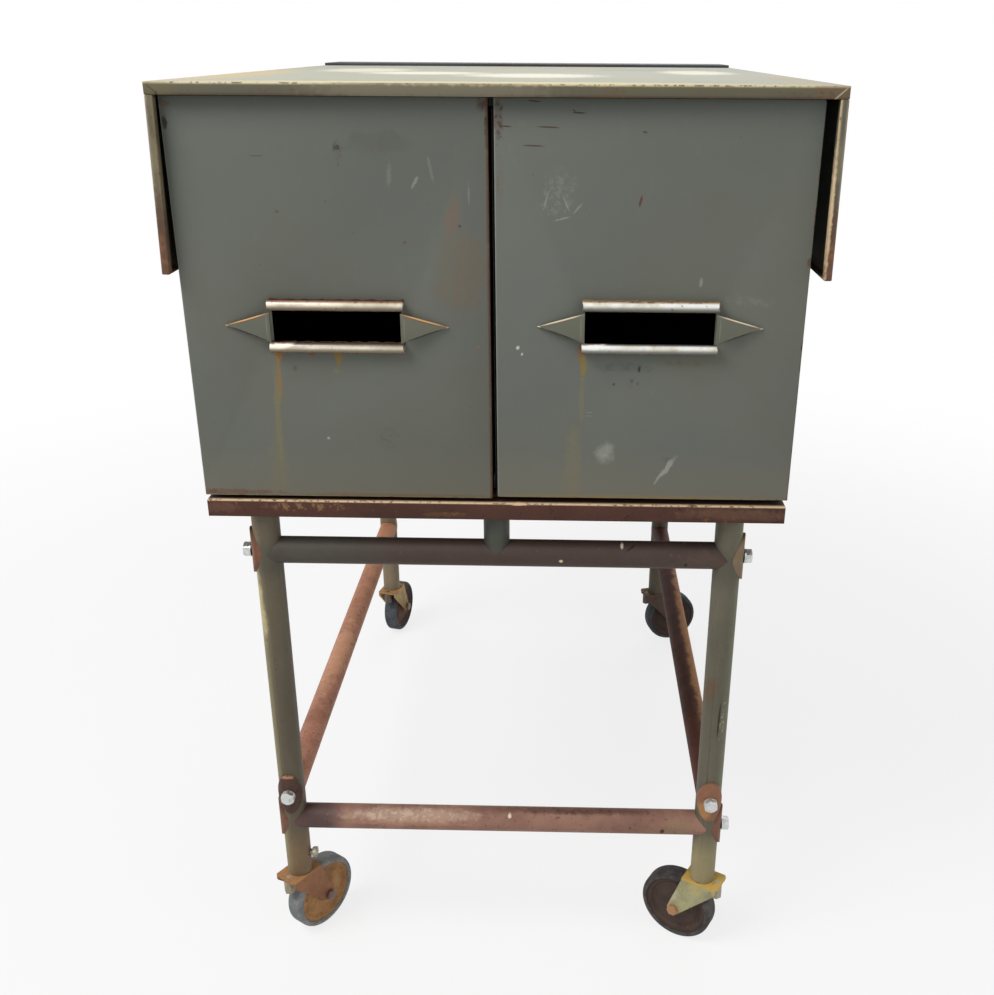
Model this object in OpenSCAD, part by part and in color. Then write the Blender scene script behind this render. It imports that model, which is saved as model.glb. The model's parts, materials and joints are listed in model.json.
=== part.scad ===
// Two-drawer workshop cabinet of welded sheet steel on a bolted tube trolley with four swivel casters.
// Millimetres. +Z is up, the drawers open towards -Y, and the floor is at Z = 0.

/* [Cabinet] */
// Height of the base rails' top above the floor
stand_h = 650; // [560:1:760]
// Height of the cabinet, from the base rails to the top of the cover
cabinet_h = 440; // [380:1:520]
// Width of the carcass over its side panels
carcass_w = 651; // [560:1:760]
// Depth of the carcass, from its front edge to its back panel
carcass_d = 943; // [860:1:1040]
// Sheet thickness of the carcass and the drawers
sheet_t = 1.5; // [1:0.25:2.5]
// How far the carcass sits to the left of the cover's middle
carcass_shift = 5; // [0:0.5:6]

/* [Cover] */
// Sheet thickness of the cover and its skirts
cover_t = 2; // [1.5:0.5:3]
// How far the cover stands out past each side of the carcass
cover_side = 15.5; // [14.5:0.5:24]
// How far the cover stands out behind the carcass
cover_back = 15; // [6:1:30]
// Height of the folded rim round the cover
rim_h = 12; // [8:1:18]
// Height of the side skirts below the rim
skirt_h = 174; // [80:1:260]
// Width of the flange on each end of a skirt
skirt_flange = 8; // [5:0.5:8]
// Depth of the lip turned back from each flange
skirt_lip = 10; // [4:1:16]
// Outward lean of the left skirt, in degrees
left_lean = 1.6; // [0:0.1:3]
// Outward lean of the right skirt, in degrees
right_lean = 0.5; // [0:0.1:3]
// Depth of the raised strip along the back of the top
strip_d = 128; // [60:1:200]
// Thickness of the raised strip
strip_t = 4; // [2:0.5:6]

/* [Drawers] */
// How far the drawer fronts stand behind the cover's front edge
front_setback = 12; // [12:0.5:24]
// Depth of the folded edges round a drawer front
front_fold = 18; // [10:1:26]
// How far the two fronts reach past each side of the carcass
front_lap = 1.7; // [0:0.1:2]
// Gap between the two drawer fronts
front_gap = 6; // [3:0.5:12]
// Gap between the left drawer front and the base rail
sill_gap = 4.5; // [2:0.5:8]
// How much higher the right drawer sits than the left one
right_lift = 2; // [0:0.5:4]
// Gap between the higher drawer front and the cover's rim
rim_gap = 0.5; // [0.5:0.5:3]
// Gap between the sides of a drawer and its runners
runner_play = 3.5; // [2:0.5:6]
// How far the drawer sides stop below the stop bars
side_clear = 8; // [4:1:30]
// How far each drawer pulls out
drawer_travel = 650; // [300:10:680]
// Space between a closed drawer and the back panel
drawer_back_gap = 18; // [8:1:40]

/* [Handles] */
// Diameter of the two rods of a handle
rod_d = 11; // [8:0.5:11.5]
// Distance between the middles of the two rods
rod_pitch = 45; // [36:1:60]
// Length of the rods
rod_l = 143; // [100:1:180]
// Width of the finger slot
slot_w = 137; // [90:1:176]
// Height of the finger slot
slot_h = 38; // [28:1:46]
// Height of the handle's middle above the drawer front's lower edge
handle_z = 195; // [100:1:300]
// Length of the pointed plate at each end of a handle
ear_l = 51; // [30:1:60]
// Thickness of the pointed plates
ear_t = 2; // [1:0.5:3]

/* [Base rails] */
// Leg of the angle section of the base rails
rail_s = 20; // [16:1:32]
// Thickness of the angle section
rail_t = 3; // [2:0.5:5]
// How far the front rail stands in front of the drawer fronts
rail_proud = 4; // [0:0.5:6]
// Width of the bearers that cross the cabinet over the legs
bearer_w = 44; // [40:1:80]

/* [Stand] */
// Outside diameter of all frame tubes
tube_d = 32; // [26:0.5:38]
// Wall thickness of the frame tubes
tube_t = 2.5; // [2:0.25:4]
// Distance from the carcass side to the middle of a leg
leg_inset = 57; // [44:1:90]
// Distance from the front rail's face to the middle of the front legs
leg_front = 25; // [22:1:60]
// Distance from the carcass back to the middle of the rear legs
leg_back = 109; // [50:1:200]
// Distance from the base rails' top down to the middle of the upper cross tubes
upper_tube_drop = 72; // [52:1:120]
// Height of the middle of the lower cross tubes above the floor
lower_tube_z = 195; // [190:1:260]
// How much higher the side stretchers lie than the lower cross tubes
stretcher_rise = 45; // [40:1:90]
// Diameter of the short posts over the upper cross tubes
stub_d = 30; // [20:0.5:30]
// Side of the square plates on the tops of the legs
pad_s = 40; // [38:1:60]
// Thickness of those plates
pad_t = 4; // [3:0.5:8]

/* [Frame bolts] */
// Diameter of the frame bolts
bolt_d = 10; // [8:0.5:12]
// Width across flats of the bolt heads
bolt_af = 16; // [13:0.5:19]
// Thickness of the bolt heads
bolt_head = 7; // [5:0.5:9]
// Thickness of the spring washers
washer_t = 2; // [1:0.5:3]
// Height of the curved saddle washers
saddle_h = 58; // [44:1:66]
// Width of the curved saddle washers
saddle_w = 31; // [24:0.5:34]
// Number of straight sides that make up a curved washer's oval
saddle_sides = 32; // [16:4:48]
// Thickness of the saddle washers
saddle_t = 3; // [2:0.5:4]

/* [Casters] */
// Height of the leg's lower end above the floor
caster_h = 107; // [106:0.5:125]
// Wheel diameter
wheel_d = 100; // [90:1:100]
// Wheel width over the tyre
wheel_w = 25; // [20:0.5:27]
// Distance from the swivel axis to the wheel axle
trail = 31; // [26:0.5:38]
// Clear width between the cheeks of the fork
fork_gap = 30; // [28:0.5:34]
// Thickness of the fork's sheet
fork_t = 3; // [2:0.5:4]
// Distance from the swivel axis to the nose of the fork
nose_l = 28; // [26:0.5:34]
// Diameter of the kingpin
kingpin_d = 12; // [10:0.5:14]
// Diameter of the wheel axle
axle_d = 8; // [6:0.5:9]
// Direction in which each wheel trails, in degrees from +X: front left, front right, rear left, rear right
trail_dir = [56, 150, 76, 16];

/* [Hidden] */
$fn = 48;

LEFT = -1;
RIGHT = 1;
FRONT = 0;
REAR = 1;

weld_gap = 0.1;      // gap left at a welded or bolted face
run_gap = 0.05;      // radial clearance of a turning shaft
slide_gap = 0.3;     // clearance between pieces that move past each other
strip_seat = 0.5;    // how deep the strip is let into the top
eps = 1;             // how far a cutter reaches past the face that it cuts

// Heights
top_z = stand_h + cabinet_h;
cover_under = top_z - cover_t;
rim_z = top_z - rim_h;
rail_under = stand_h - rail_t;
pad_under = rail_under - pad_t;
upper_tube_z = stand_h - upper_tube_drop;
stretcher_z = lower_tube_z + stretcher_rise;

// Places front to back, measured from the cover's front edge
carcass_y = front_setback + front_fold + 2;
carcass_back = carcass_y + carcass_d;
cover_d = carcass_back + cover_back;
rail_y = front_setback - rail_proud;
leg_y = [rail_y + leg_front, carcass_back - leg_back];

// Widths
cover_w = carcass_w + 2 * cover_side;
leg_span = carcass_w - 2 * leg_inset;
front_w = (carcass_w + 2 * front_lap - front_gap) / 2;
front_mid = (front_gap + front_w) / 2;

// Drawer fronts
front_z = stand_h + sill_gap;
function lift(side) = side > 0 ? right_lift : 0;
function lean(side) = side > 0 ? right_lean : left_lean;
function front_h(side) = rim_z - rim_gap - front_z - lift(side);

// Cross members under the cover: the header at the front and the stop bar that the drawers' backs meet
header_h = 20;
header_t = 3;
header_d = header_h;
header_under = cover_under - header_h;
box_back = carcass_back - sheet_t - drawer_back_gap;
stop_y = box_back - sheet_t - drawer_travel;

// Runners and drawer boxes
runner_s = 16;
runner_t = 2;
box_bottom = front_z + sheet_t + 4;
box_in = sheet_t / 2 + runner_t + runner_play;
box_out = carcass_w / 2 - sheet_t - runner_t - runner_play;
box_w = box_out - box_in;
box_side_h = header_under - side_clear - box_bottom - right_lift;
box_back_h = box_side_h + side_clear + 6;

// Tubes
tube_r = tube_d / 2;
bore_r = tube_r - tube_t;
plug_l = 24;

// Casters
wheel_r = wheel_d / 2;
plate_top = caster_h - slide_gap;
plate_under = plate_top - fork_t;
cheek_out = fork_gap / 2 + fork_t;
nose_half = 15;
clamp_z = caster_h + 28;
clamp_dir = [0, 90, 90, 90];
stem_h = 50;
kingpin_head_r = 9;
kingpin_head_h = 4;
axle_eye_r = 9;

paint = "#666b62";
rust = "#6b4a3a";
steel = "#b9b4a6";
rubber = "#3a3d40";

// The whole part stands on the middle of the cover's footprint.
module centred() {
    translate([0, -cover_d / 2, 0]) children();
}

// Pieces of the carcass and the stand lie about the carcass's own middle.
module on_carcass() {
    centred() translate([-carcass_shift, 0, 0]) children();
}

module at_leg(side, end) {
    on_carcass() translate([side * leg_span / 2, leg_y[end], 0]) children();
}

module hexagon(af, h) {
    cylinder(d = af / cos(30), h = h, $fn = 6);
}

// Angle section along +X, its outer corner on the X axis, one leg up and one leg back
module angle_x(length, s, t) {
    cube([length, s, t]);
    cube([length, t, s]);
}

// ---- Cover ----

module top_cover() {
    color(paint) centred() translate([-cover_w / 2, 0, 0]) difference() {
        translate([0, 0, rim_z]) cube([cover_w, cover_d, rim_h]);
        translate([cover_t, cover_t, rim_z - eps])
            cube([cover_w - 2 * cover_t, cover_d - 2 * cover_t, rim_h - cover_t + eps]);
        translate([-eps, cover_d - strip_d - weld_gap, top_z - strip_seat])
            cube([cover_w + 2 * eps, strip_d + weld_gap + eps, strip_seat + eps]);
    }
}

// Profile of a skirt seen from above: the sheet, a flange at each end and a lip turned back from each.
// A hem as wide as the flanges closes its lower edge.
module skirt_plan() {
    square([cover_t, cover_d]);
    for (y = [0, cover_d - cover_t]) translate([0, y]) square([skirt_flange, cover_t]);
    for (y = [0, cover_d - skirt_lip]) translate([skirt_flange - cover_t, y]) square([cover_t, skirt_lip]);
}

module skirt(side) {
    color(paint) centred() translate([side * cover_w / 2, 0, rim_z - weld_gap])
        mirror([side > 0 ? 1 : 0, 0, 0]) rotate([0, lean(side), 0])
            translate([0, 0, -skirt_h]) {
                linear_extrude(skirt_h) skirt_plan();
                cube([skirt_flange, cover_d, cover_t]);
            }
}

module left_skirt() { skirt(LEFT); }
module right_skirt() { skirt(RIGHT); }

module back_strip() {
    color("#3d4144") centred() translate([-cover_w / 2 + cover_t, cover_d - strip_d, top_z - strip_seat])
        cube([cover_w - 2 * cover_t, strip_d, strip_seat + strip_t]);
}

// ---- Carcass ----

module side_panel(side) {
    x = side < 0 ? -carcass_w / 2 : carcass_w / 2 - sheet_t;
    color(paint) on_carcass() translate([x, carcass_y, stand_h])
        cube([sheet_t, carcass_d - sheet_t - weld_gap, cover_under - stand_h]);
}

module left_side_panel() { side_panel(LEFT); }
module right_side_panel() { side_panel(RIGHT); }

module back_panel() {
    color(paint) on_carcass() translate([-carcass_w / 2, carcass_back - sheet_t, stand_h])
        cube([carcass_w, sheet_t, cover_under - stand_h]);
}

module centre_divider() {
    color(paint) on_carcass() translate([-sheet_t / 2, carcass_y, stand_h + sheet_t])
        cube([sheet_t, carcass_d - sheet_t - weld_gap, header_under - stand_h - sheet_t]);
}

module floor_panel() {
    inside = carcass_w - 2 * (sheet_t + weld_gap);
    color(paint) on_carcass() translate([-inside / 2, carcass_y, stand_h])
        cube([inside, carcass_d - sheet_t - weld_gap, sheet_t]);
}

module cross_member(y, depth) {
    inside = carcass_w - 2 * (sheet_t + weld_gap);
    on_carcass() translate([-inside / 2, y, header_under]) {
        cube([inside, header_t, header_h]);
        translate([0, 0, header_h - header_t]) cube([inside, depth, header_t]);
    }
}

module front_header() {
    color(paint) cross_member(carcass_y + 2, header_d);
}

// The upright leg of the stop bar faces the drawers' backs.
module stop_bar() {
    color(paint) translate([0, -header_t - slide_gap, 0]) cross_member(stop_y, 0.5 + header_t);
}

// Four angle runners, two for each drawer, standing on the panel and the divider
module drawer_runners() {
    length = carcass_d - sheet_t - 24;
    color(rust) for (side = [LEFT, RIGHT]) on_carcass() mirror([side < 0 ? 1 : 0, 0, 0])
        translate([0, carcass_y + 4, box_bottom + lift(side) - slide_gap - runner_t]) {
            translate([sheet_t / 2 + weld_gap, 0, 0]) runner(length);
            translate([carcass_w / 2 - sheet_t - weld_gap, 0, 0]) mirror([1, 0, 0]) runner(length);
        }
}

module runner(length) {
    cube([runner_s, length, runner_t]);
    cube([runner_t, length, runner_s]);
}

// ---- Base rails and bearers ----

module front_rail() {
    color(rust) on_carcass() translate([-carcass_w / 2, rail_y, stand_h]) mirror([0, 0, 1])
        angle_x(carcass_w, rail_s, rail_t);
}

module rear_rail() {
    color(rust) on_carcass() translate([-carcass_w / 2, carcass_back, stand_h])
        mirror([0, 0, 1]) mirror([0, 1, 0]) angle_x(carcass_w, rail_s, rail_t);
}

module side_rail(side) {
    start = rail_y + rail_s + weld_gap;
    length = carcass_back - rail_s - weld_gap - start;
    color(rust) on_carcass() mirror([side > 0 ? 1 : 0, 0, 0]) translate([-carcass_w / 2, start, stand_h])
        mirror([0, 0, 1]) {
            cube([rail_s, length, rail_t]);
            cube([rail_t, length, rail_s]);
        }
}

module left_rail() { side_rail(LEFT); }
module right_rail() { side_rail(RIGHT); }

// Flat bars between the side rails, over the legs
module bearers() {
    length = carcass_w - 2 * (rail_s + weld_gap);
    color(rust) on_carcass() {
        translate([-length / 2, rail_y + rail_s + weld_gap, rail_under]) cube([length, bearer_w, rail_t]);
        translate([-length / 2, leg_y[REAR] - bearer_w / 2, rail_under]) cube([length, bearer_w, rail_t]);
    }
}

// ---- Stand ----

module tube(length) {
    difference() {
        cylinder(r = tube_r, h = length);
        translate([0, 0, -eps]) cylinder(r = bore_r, h = length + 2 * eps);
    }
}

// Direction in which a joint's bolt points, away from the leg: the cross tubes' bolts point sideways,
// the stretchers' bolts point to the front or the back.
function side_turn(side) = side > 0 ? 0 : 180;
function end_turn(end) = end == FRONT ? -90 : 90;

module leg(side, end) {
    bolt_hole = bolt_d / 2 + weld_gap;
    color(paint) at_leg(side, end) difference() {
        translate([0, 0, caster_h]) tube(pad_under - caster_h - weld_gap);
        for (z = [lower_tube_z, upper_tube_z]) translate([0, 0, z]) rotate([0, 90, 0])
            cylinder(r = bolt_hole, h = 2 * tube_d, center = true);
        translate([0, 0, stretcher_z]) rotate([90, 0, 0])
            cylinder(r = bolt_hole, h = 2 * tube_d, center = true);
        translate([0, 0, clamp_z]) rotate([0, 90, clamp_dir[leg_index(side, end)]])
            cylinder(r = clamp_r + weld_gap, h = tube_d);
    }
}

function leg_index(side, end) = 2 * end + (side > 0 ? 1 : 0);

module front_left_leg() { leg(LEFT, FRONT); }
module front_right_leg() { leg(RIGHT, FRONT); }
module rear_left_leg() { leg(LEFT, REAR); }
module rear_right_leg() { leg(RIGHT, REAR); }

// Square plates welded to the legs' tops, under the bearers
module leg_pads() {
    color(rust) for (side = [LEFT, RIGHT]) for (end = [FRONT, REAR])
        at_leg(side, end) translate([-pad_s / 2, -tube_r + weld_gap, pad_under]) cube([pad_s, pad_s, pad_t - weld_gap]);
}

// Cutter that copes a tube's ends round the two legs it joins
module leg_pair_cutter(end) {
    for (side = [LEFT, RIGHT]) at_leg(side, end) cylinder(r = tube_r + weld_gap, h = stand_h);
}

module cross_tube(end, z) {
    color(rust) difference() {
        at_leg(LEFT, end) translate([0, 0, z]) rotate([0, 90, 0]) tube(leg_span);
        leg_pair_cutter(end);
    }
}

module front_upper_tube() { cross_tube(FRONT, upper_tube_z); }
module rear_upper_tube() { cross_tube(REAR, upper_tube_z); }
module front_lower_tube() { cross_tube(FRONT, lower_tube_z); }
module rear_lower_tube() { cross_tube(REAR, lower_tube_z); }

module stretcher(side) {
    color(rust) difference() {
        at_leg(side, FRONT) translate([0, 0, stretcher_z]) rotate([-90, 0, 0]) tube(leg_y[REAR] - leg_y[FRONT]);
        for (end = [FRONT, REAR]) at_leg(side, end) cylinder(r = tube_r + weld_gap, h = stand_h);
    }
}

module left_stretcher() { stretcher(LEFT); }
module right_stretcher() { stretcher(RIGHT); }

// Short post from the middle of an upper cross tube up to the rails
module post(end) {
    color(paint) on_carcass() translate([0, leg_y[end], 0]) difference() {
        translate([0, 0, upper_tube_z]) cylinder(d = stub_d, h = rail_under - weld_gap - upper_tube_z);
        translate([0, 0, upper_tube_z - eps]) cylinder(d = stub_d - 2 * tube_t, h = stand_h);
        translate([0, 0, upper_tube_z]) rotate([0, 90, 0])
            cylinder(r = tube_r + weld_gap, h = 2 * tube_d, center = true);
    }
}

module front_post() { post(FRONT); }
module rear_post() { post(REAR); }

// A joint's own frame: origin on the leg's axis, +X along the bolt, out of the leg
module joints() {
    for (side = [LEFT, RIGHT]) for (end = [FRONT, REAR]) {
        for (z = [upper_tube_z, lower_tube_z])
            at_leg(side, end) translate([0, 0, z]) rotate([0, 0, side_turn(side)]) children();
        at_leg(side, end) translate([0, 0, stretcher_z]) rotate([0, 0, end_turn(end)]) children();
    }
}

// Turned plugs in the ends of the cross tubes and stretchers, which take the bolts
module tube_plugs() {
    color(steel) joints() difference() {
        translate([-tube_r - plug_l, 0, 0]) rotate([0, 90, 0]) cylinder(r = bore_r - weld_gap, h = plug_l + tube_r);
        translate([-tube_r - plug_l - eps, 0, 0]) rotate([0, 90, 0])
            cylinder(d = bolt_d + 2 * run_gap, h = plug_l + tube_d);
        cylinder(r = tube_r + weld_gap, h = 2 * tube_d, center = true);
    }
}

// Oval washers rolled to the curve of the leg
module saddle_washers() {
    inner = tube_r + weld_gap;
    color(rust) joints() difference() {
        intersection() {
            cylinder(r = inner + saddle_t, h = saddle_h, center = true);
            rotate([0, 90, 0]) linear_extrude(tube_d) saddle_outline();
        }
        cylinder(r = inner, h = saddle_h + 2 * eps, center = true);
        rotate([0, 90, 0]) cylinder(d = bolt_d + 4 * weld_gap, h = tube_d);
    }
}

module saddle_outline() {
    step = 360 / saddle_sides;
    polygon([for (i = [0 : saddle_sides - 1]) [saddle_h / 2 * cos(i * step), saddle_w / 2 * sin(i * step)]]);
}

// Hex bolts, each on a spring washer. The lower outer joint of the front left leg has lost its bolt.
module frame_bolts() {
    color("#c9c7bd") difference() {
        joints() frame_bolt();
        at_leg(LEFT, FRONT) translate([-2 * tube_d, -tube_r, lower_tube_z - bolt_af])
            cube([4 * tube_d, tube_d, 2 * bolt_af]);
    }
}

module frame_bolt() {
    seat = tube_r + 2 * weld_gap + saddle_t;
    inside = tube_r + plug_l - 4;
    rotate([0, 90, 0]) {
        translate([0, 0, seat]) cylinder(d = bolt_af + 1, h = washer_t);
        translate([0, 0, seat + washer_t]) hexagon(bolt_af, bolt_head);
        translate([0, 0, -inside]) cylinder(d = bolt_d, h = inside + seat + washer_t);
    }
}

// ---- Caster stems, held in the legs ----

clamp_r = 4;
clamp_af = 13;

// Plug inside the leg, with the kingpin and its riveted head under the fork
module caster_stems() {
    color(steel) for (side = [LEFT, RIGHT]) for (end = [FRONT, REAR]) at_leg(side, end) difference() {
        union() {
            translate([0, 0, caster_h]) cylinder(r = bore_r - weld_gap, h = stem_h);
            translate([0, 0, plate_under - slide_gap - kingpin_head_h])
                cylinder(d = kingpin_d, h = fork_t + 2 * slide_gap + kingpin_head_h + eps);
            translate([0, 0, plate_under - slide_gap - kingpin_head_h])
                cylinder(r = kingpin_head_r, h = kingpin_head_h);
        }
        translate([0, 0, clamp_z]) rotate([0, 90, clamp_dir[leg_index(side, end)]])
            cylinder(r = clamp_r + run_gap, h = tube_d);
    }
}

// One hex screw in each leg, which clamps the stem
module clamp_screws() {
    color("#c9c7bd") for (side = [LEFT, RIGHT]) for (end = [FRONT, REAR])
        at_leg(side, end) translate([0, 0, clamp_z]) rotate([0, 90, clamp_dir[leg_index(side, end)]]) {
            translate([0, 0, 1]) cylinder(r = clamp_r, h = tube_r + 2);
            translate([0, 0, tube_r + 3]) hexagon(clamp_af, 6);
        }
}

// ---- Drawers ----

// A drawer's own frame: origin at the lower middle of its front's face
module at_drawer(side) {
    on_carcass() translate([side * front_mid, front_setback, front_z + lift(side)]) children();
}

module drawer_front(side) {
    color(paint) at_drawer(side) difference() {
        translate([-front_w / 2, 0, 0]) cube([front_w, front_fold, front_h(side)]);
        translate([-front_w / 2 + sheet_t, sheet_t, sheet_t])
            cube([front_w - 2 * sheet_t, front_fold, front_h(side) - 2 * sheet_t]);
        translate([-slot_w / 2, -eps, handle_z - slot_h / 2]) cube([slot_w, sheet_t + 2 * eps, slot_h]);
    }
}

// Bottom, sides and back of a drawer, folded from one sheet and welded to the front
module drawer_box(side) {
    depth = box_back - front_setback - sheet_t - weld_gap;
    color(paint) on_carcass() mirror([side < 0 ? 1 : 0, 0, 0])
        translate([box_in, front_setback + sheet_t + weld_gap, box_bottom + lift(side)]) {
            cube([box_w, depth, sheet_t]);
            for (x = [0, box_w - sheet_t]) translate([x, 0, 0]) cube([sheet_t, depth, box_side_h]);
            translate([0, depth - sheet_t, 0]) cube([box_w, sheet_t, box_back_h]);
        }
}

module handle_rods(side) {
    color(steel) at_drawer(side) for (s = [-1, 1])
        translate([-rod_l / 2, -rod_d / 2 - run_gap, handle_z + s * rod_pitch / 2])
            rotate([0, 90, 0]) cylinder(d = rod_d, h = rod_l);
}

// Pointed plates that rise from the front to the rods at each end of the slot
module handle_ears(side) {
    rise = asin((rod_d - ear_t) / ear_l);
    half = (rod_pitch - rod_d) / 2 - 1;
    color(paint) at_drawer(side) for (s = [-1, 1]) mirror([s < 0 ? 1 : 0, 0, 0])
        translate([slot_w / 2 + ear_l * cos(rise), -weld_gap, handle_z]) rotate([0, 0, rise])
            translate([-ear_l, 0, 0]) rotate([90, 0, 0]) linear_extrude(ear_t)
                polygon([[0, -half], [ear_l, 0], [0, half]]);
}

module left_drawer_front() { drawer_front(LEFT); }
module left_drawer_box() { drawer_box(LEFT); }
module left_handle_rods() { handle_rods(LEFT); }
module left_handle_ears() { handle_ears(LEFT); }
module right_drawer_front() { drawer_front(RIGHT); }
module right_drawer_box() { drawer_box(RIGHT); }
module right_handle_rods() { handle_rods(RIGHT); }
module right_handle_ears() { handle_ears(RIGHT); }

// ---- Swivel forks and wheels ----

// A caster's own frame: origin on the floor under the swivel axis, +X towards the wheel
module at_caster(side, end) {
    at_leg(side, end) rotate([0, 0, trail_dir[leg_index(side, end)]]) children();
}

// Point where the line from p touches the circle about c with radius r, on the side s
function touch(p, c, r, s) =
    let (d = c - p, l = norm(d), a = atan2(d[1], d[0]) + s * asin(r / l), t = sqrt(l * l - r * r))
    p + t * [cos(a), sin(a)];

module cheek_outline() {
    axle = [trail, wheel_r];
    nose = [-nose_l + 2, plate_under - 6];
    tail = [tail_l, plate_under];
    polygon([[-nose_l + 2, plate_top], nose, touch(nose, axle, axle_eye_r, -1), axle,
        touch(tail, axle, axle_eye_r, 1), tail, [tail_l, plate_top]]);
    translate(axle) circle(r = axle_eye_r);
}

tail_l = trail - 9;

module fork(side, end) {
    color("#8a7a55") at_caster(side, end) difference() {
        union() {
            translate([0, 0, plate_under]) linear_extrude(fork_t)
                polygon([[-nose_l, -nose_half], [-nose_l + 6, -cheek_out], [tail_l, -cheek_out],
                    [tail_l, cheek_out], [-nose_l + 6, cheek_out], [-nose_l, nose_half]]);
            for (s = [-1, 1]) translate([0, s > 0 ? cheek_out : -fork_gap / 2, 0]) rotate([90, 0, 0])
                linear_extrude(fork_t) cheek_outline();
        }
        translate([0, 0, plate_under - eps]) cylinder(d = kingpin_d + 2 * run_gap, h = fork_t + 2 * eps);
        translate([-nose_l + 7, 0, plate_under - eps]) cylinder(r = 3 + weld_gap, h = fork_t + 2 * eps);
        translate([trail, 0, wheel_r]) rotate([90, 0, 0])
            cylinder(d = axle_d + 2 * weld_gap, h = 4 * cheek_out, center = true);
    }
}

// Axle bolt with its nut, and the nose bolt with its tall nut
module fork_bolts(side, end) {
    color(steel) at_caster(side, end) {
        translate([trail, 0, wheel_r]) rotate([90, 0, 0]) {
            cylinder(d = axle_d, h = 2 * cheek_out + 10, center = true);
            for (s = [0, 1]) mirror([0, 0, s]) translate([0, 0, cheek_out + weld_gap]) hexagon(13, 5);
        }
        translate([-nose_l + 7, 0, 0]) {
            translate([0, 0, plate_under - 21]) cylinder(r = 3, h = 21 + fork_t);
            translate([0, 0, plate_under - 20]) hexagon(13, 13);
            translate([0, 0, plate_under - 7]) cylinder(r = 7, h = 7 - weld_gap);
        }
    }
}

// Wheel's own frame: axle along +Z
module at_axle(side, end) {
    at_caster(side, end) translate([trail, 0, wheel_r]) rotate([90, 0, 0]) children();
}

disc_r = wheel_r - 7;
disc_t = 1.5;
hub_half = fork_gap / 2 - 1;
hub_r = axle_d / 2 + 4;
disc_face = wheel_w / 2 - 3;

// Pressed disc: flat round the hub, stepped in to a flat web with a groove, and out again at the rim
module pressed_disc() {
    face = [[hub_r + run_gap, disc_face + 3], [12, disc_face + 3], [16, disc_face - 1], [disc_r - 14, disc_face - 1],
        [disc_r - 11, disc_face - 3], [disc_r - 8, disc_face - 3], [disc_r - 5, disc_face], [disc_r, disc_face]];
    rotate_extrude() polygon(concat(face, [for (i = [len(face) - 1 : -1 : 0]) face[i] - [0, disc_t]]));
}

module wheel(side, end) {
    color(rust) at_axle(side, end) {
        difference() {
            cylinder(r = hub_r, h = 2 * hub_half, center = true);
            cylinder(d = axle_d + 2 * run_gap, h = 2 * hub_half + 2 * eps, center = true);
        }
        pressed_disc();
        mirror([0, 0, 1]) pressed_disc();
    }
}

// Solid rubber tyre with a rounded tread; its bead is held between the discs' rims
module tyre(side, end) {
    round_r = 5;
    half = wheel_w / 2;
    bead = disc_face - disc_t - weld_gap;
    tread = [for (s = [1, -1]) for (i = [0 : 6])
        let (a = s > 0 ? 90 - 15 * i : -15 * i)
        [wheel_r - round_r + round_r * cos(a), s * (half - round_r) + round_r * sin(a)]];
    color(rubber) at_axle(side, end) rotate_extrude()
        polygon(concat([[disc_r - 5, -bead], [disc_r - 5, bead], [disc_r + weld_gap, bead], [disc_r + weld_gap, half]],
            tread, [[disc_r + weld_gap, -half], [disc_r + weld_gap, -bead]]));
}

module front_left_fork() { fork(LEFT, FRONT); }
module front_left_fork_bolts() { fork_bolts(LEFT, FRONT); }
module front_left_wheel() { wheel(LEFT, FRONT); }
module front_left_tyre() { tyre(LEFT, FRONT); }
module front_right_fork() { fork(RIGHT, FRONT); }
module front_right_fork_bolts() { fork_bolts(RIGHT, FRONT); }
module front_right_wheel() { wheel(RIGHT, FRONT); }
module front_right_tyre() { tyre(RIGHT, FRONT); }
module rear_left_fork() { fork(LEFT, REAR); }
module rear_left_fork_bolts() { fork_bolts(LEFT, REAR); }
module rear_left_wheel() { wheel(LEFT, REAR); }
module rear_left_tyre() { tyre(LEFT, REAR); }
module rear_right_fork() { fork(RIGHT, REAR); }
module rear_right_fork_bolts() { fork_bolts(RIGHT, REAR); }
module rear_right_wheel() { wheel(RIGHT, REAR); }
module rear_right_tyre() { tyre(RIGHT, REAR); }

top_cover();
left_skirt();
right_skirt();
back_strip();
left_side_panel();
right_side_panel();
back_panel();
centre_divider();
floor_panel();
front_header();
stop_bar();
drawer_runners();
front_rail();
rear_rail();
left_rail();
right_rail();
bearers();
front_left_leg();
front_right_leg();
rear_left_leg();
rear_right_leg();
leg_pads();
front_upper_tube();
rear_upper_tube();
front_lower_tube();
rear_lower_tube();
left_stretcher();
right_stretcher();
front_post();
rear_post();
tube_plugs();
saddle_washers();
frame_bolts();
caster_stems();
clamp_screws();
left_drawer_front();
left_drawer_box();
left_handle_rods();
left_handle_ears();
right_drawer_front();
right_drawer_box();
right_handle_rods();
right_handle_ears();
front_left_fork();
front_left_fork_bolts();
front_left_wheel();
front_left_tyre();
front_right_fork();
front_right_fork_bolts();
front_right_wheel();
front_right_tyre();
rear_left_fork();
rear_left_fork_bolts();
rear_left_wheel();
rear_left_tyre();
rear_right_fork();
rear_right_fork_bolts();
rear_right_wheel();
rear_right_tyre();
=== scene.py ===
"""A two-drawer workshop cabinet on a tube trolley, dressed over its solid parts.

The solids give every place and size. Each operator copies or rebuilds one group of pieces
with rounded edges, gives it a worn finish, and makes it ride on the body that carries it.
"""
import json
import math

import bmesh
import bpy
from mathutils import Matrix, Vector


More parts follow.
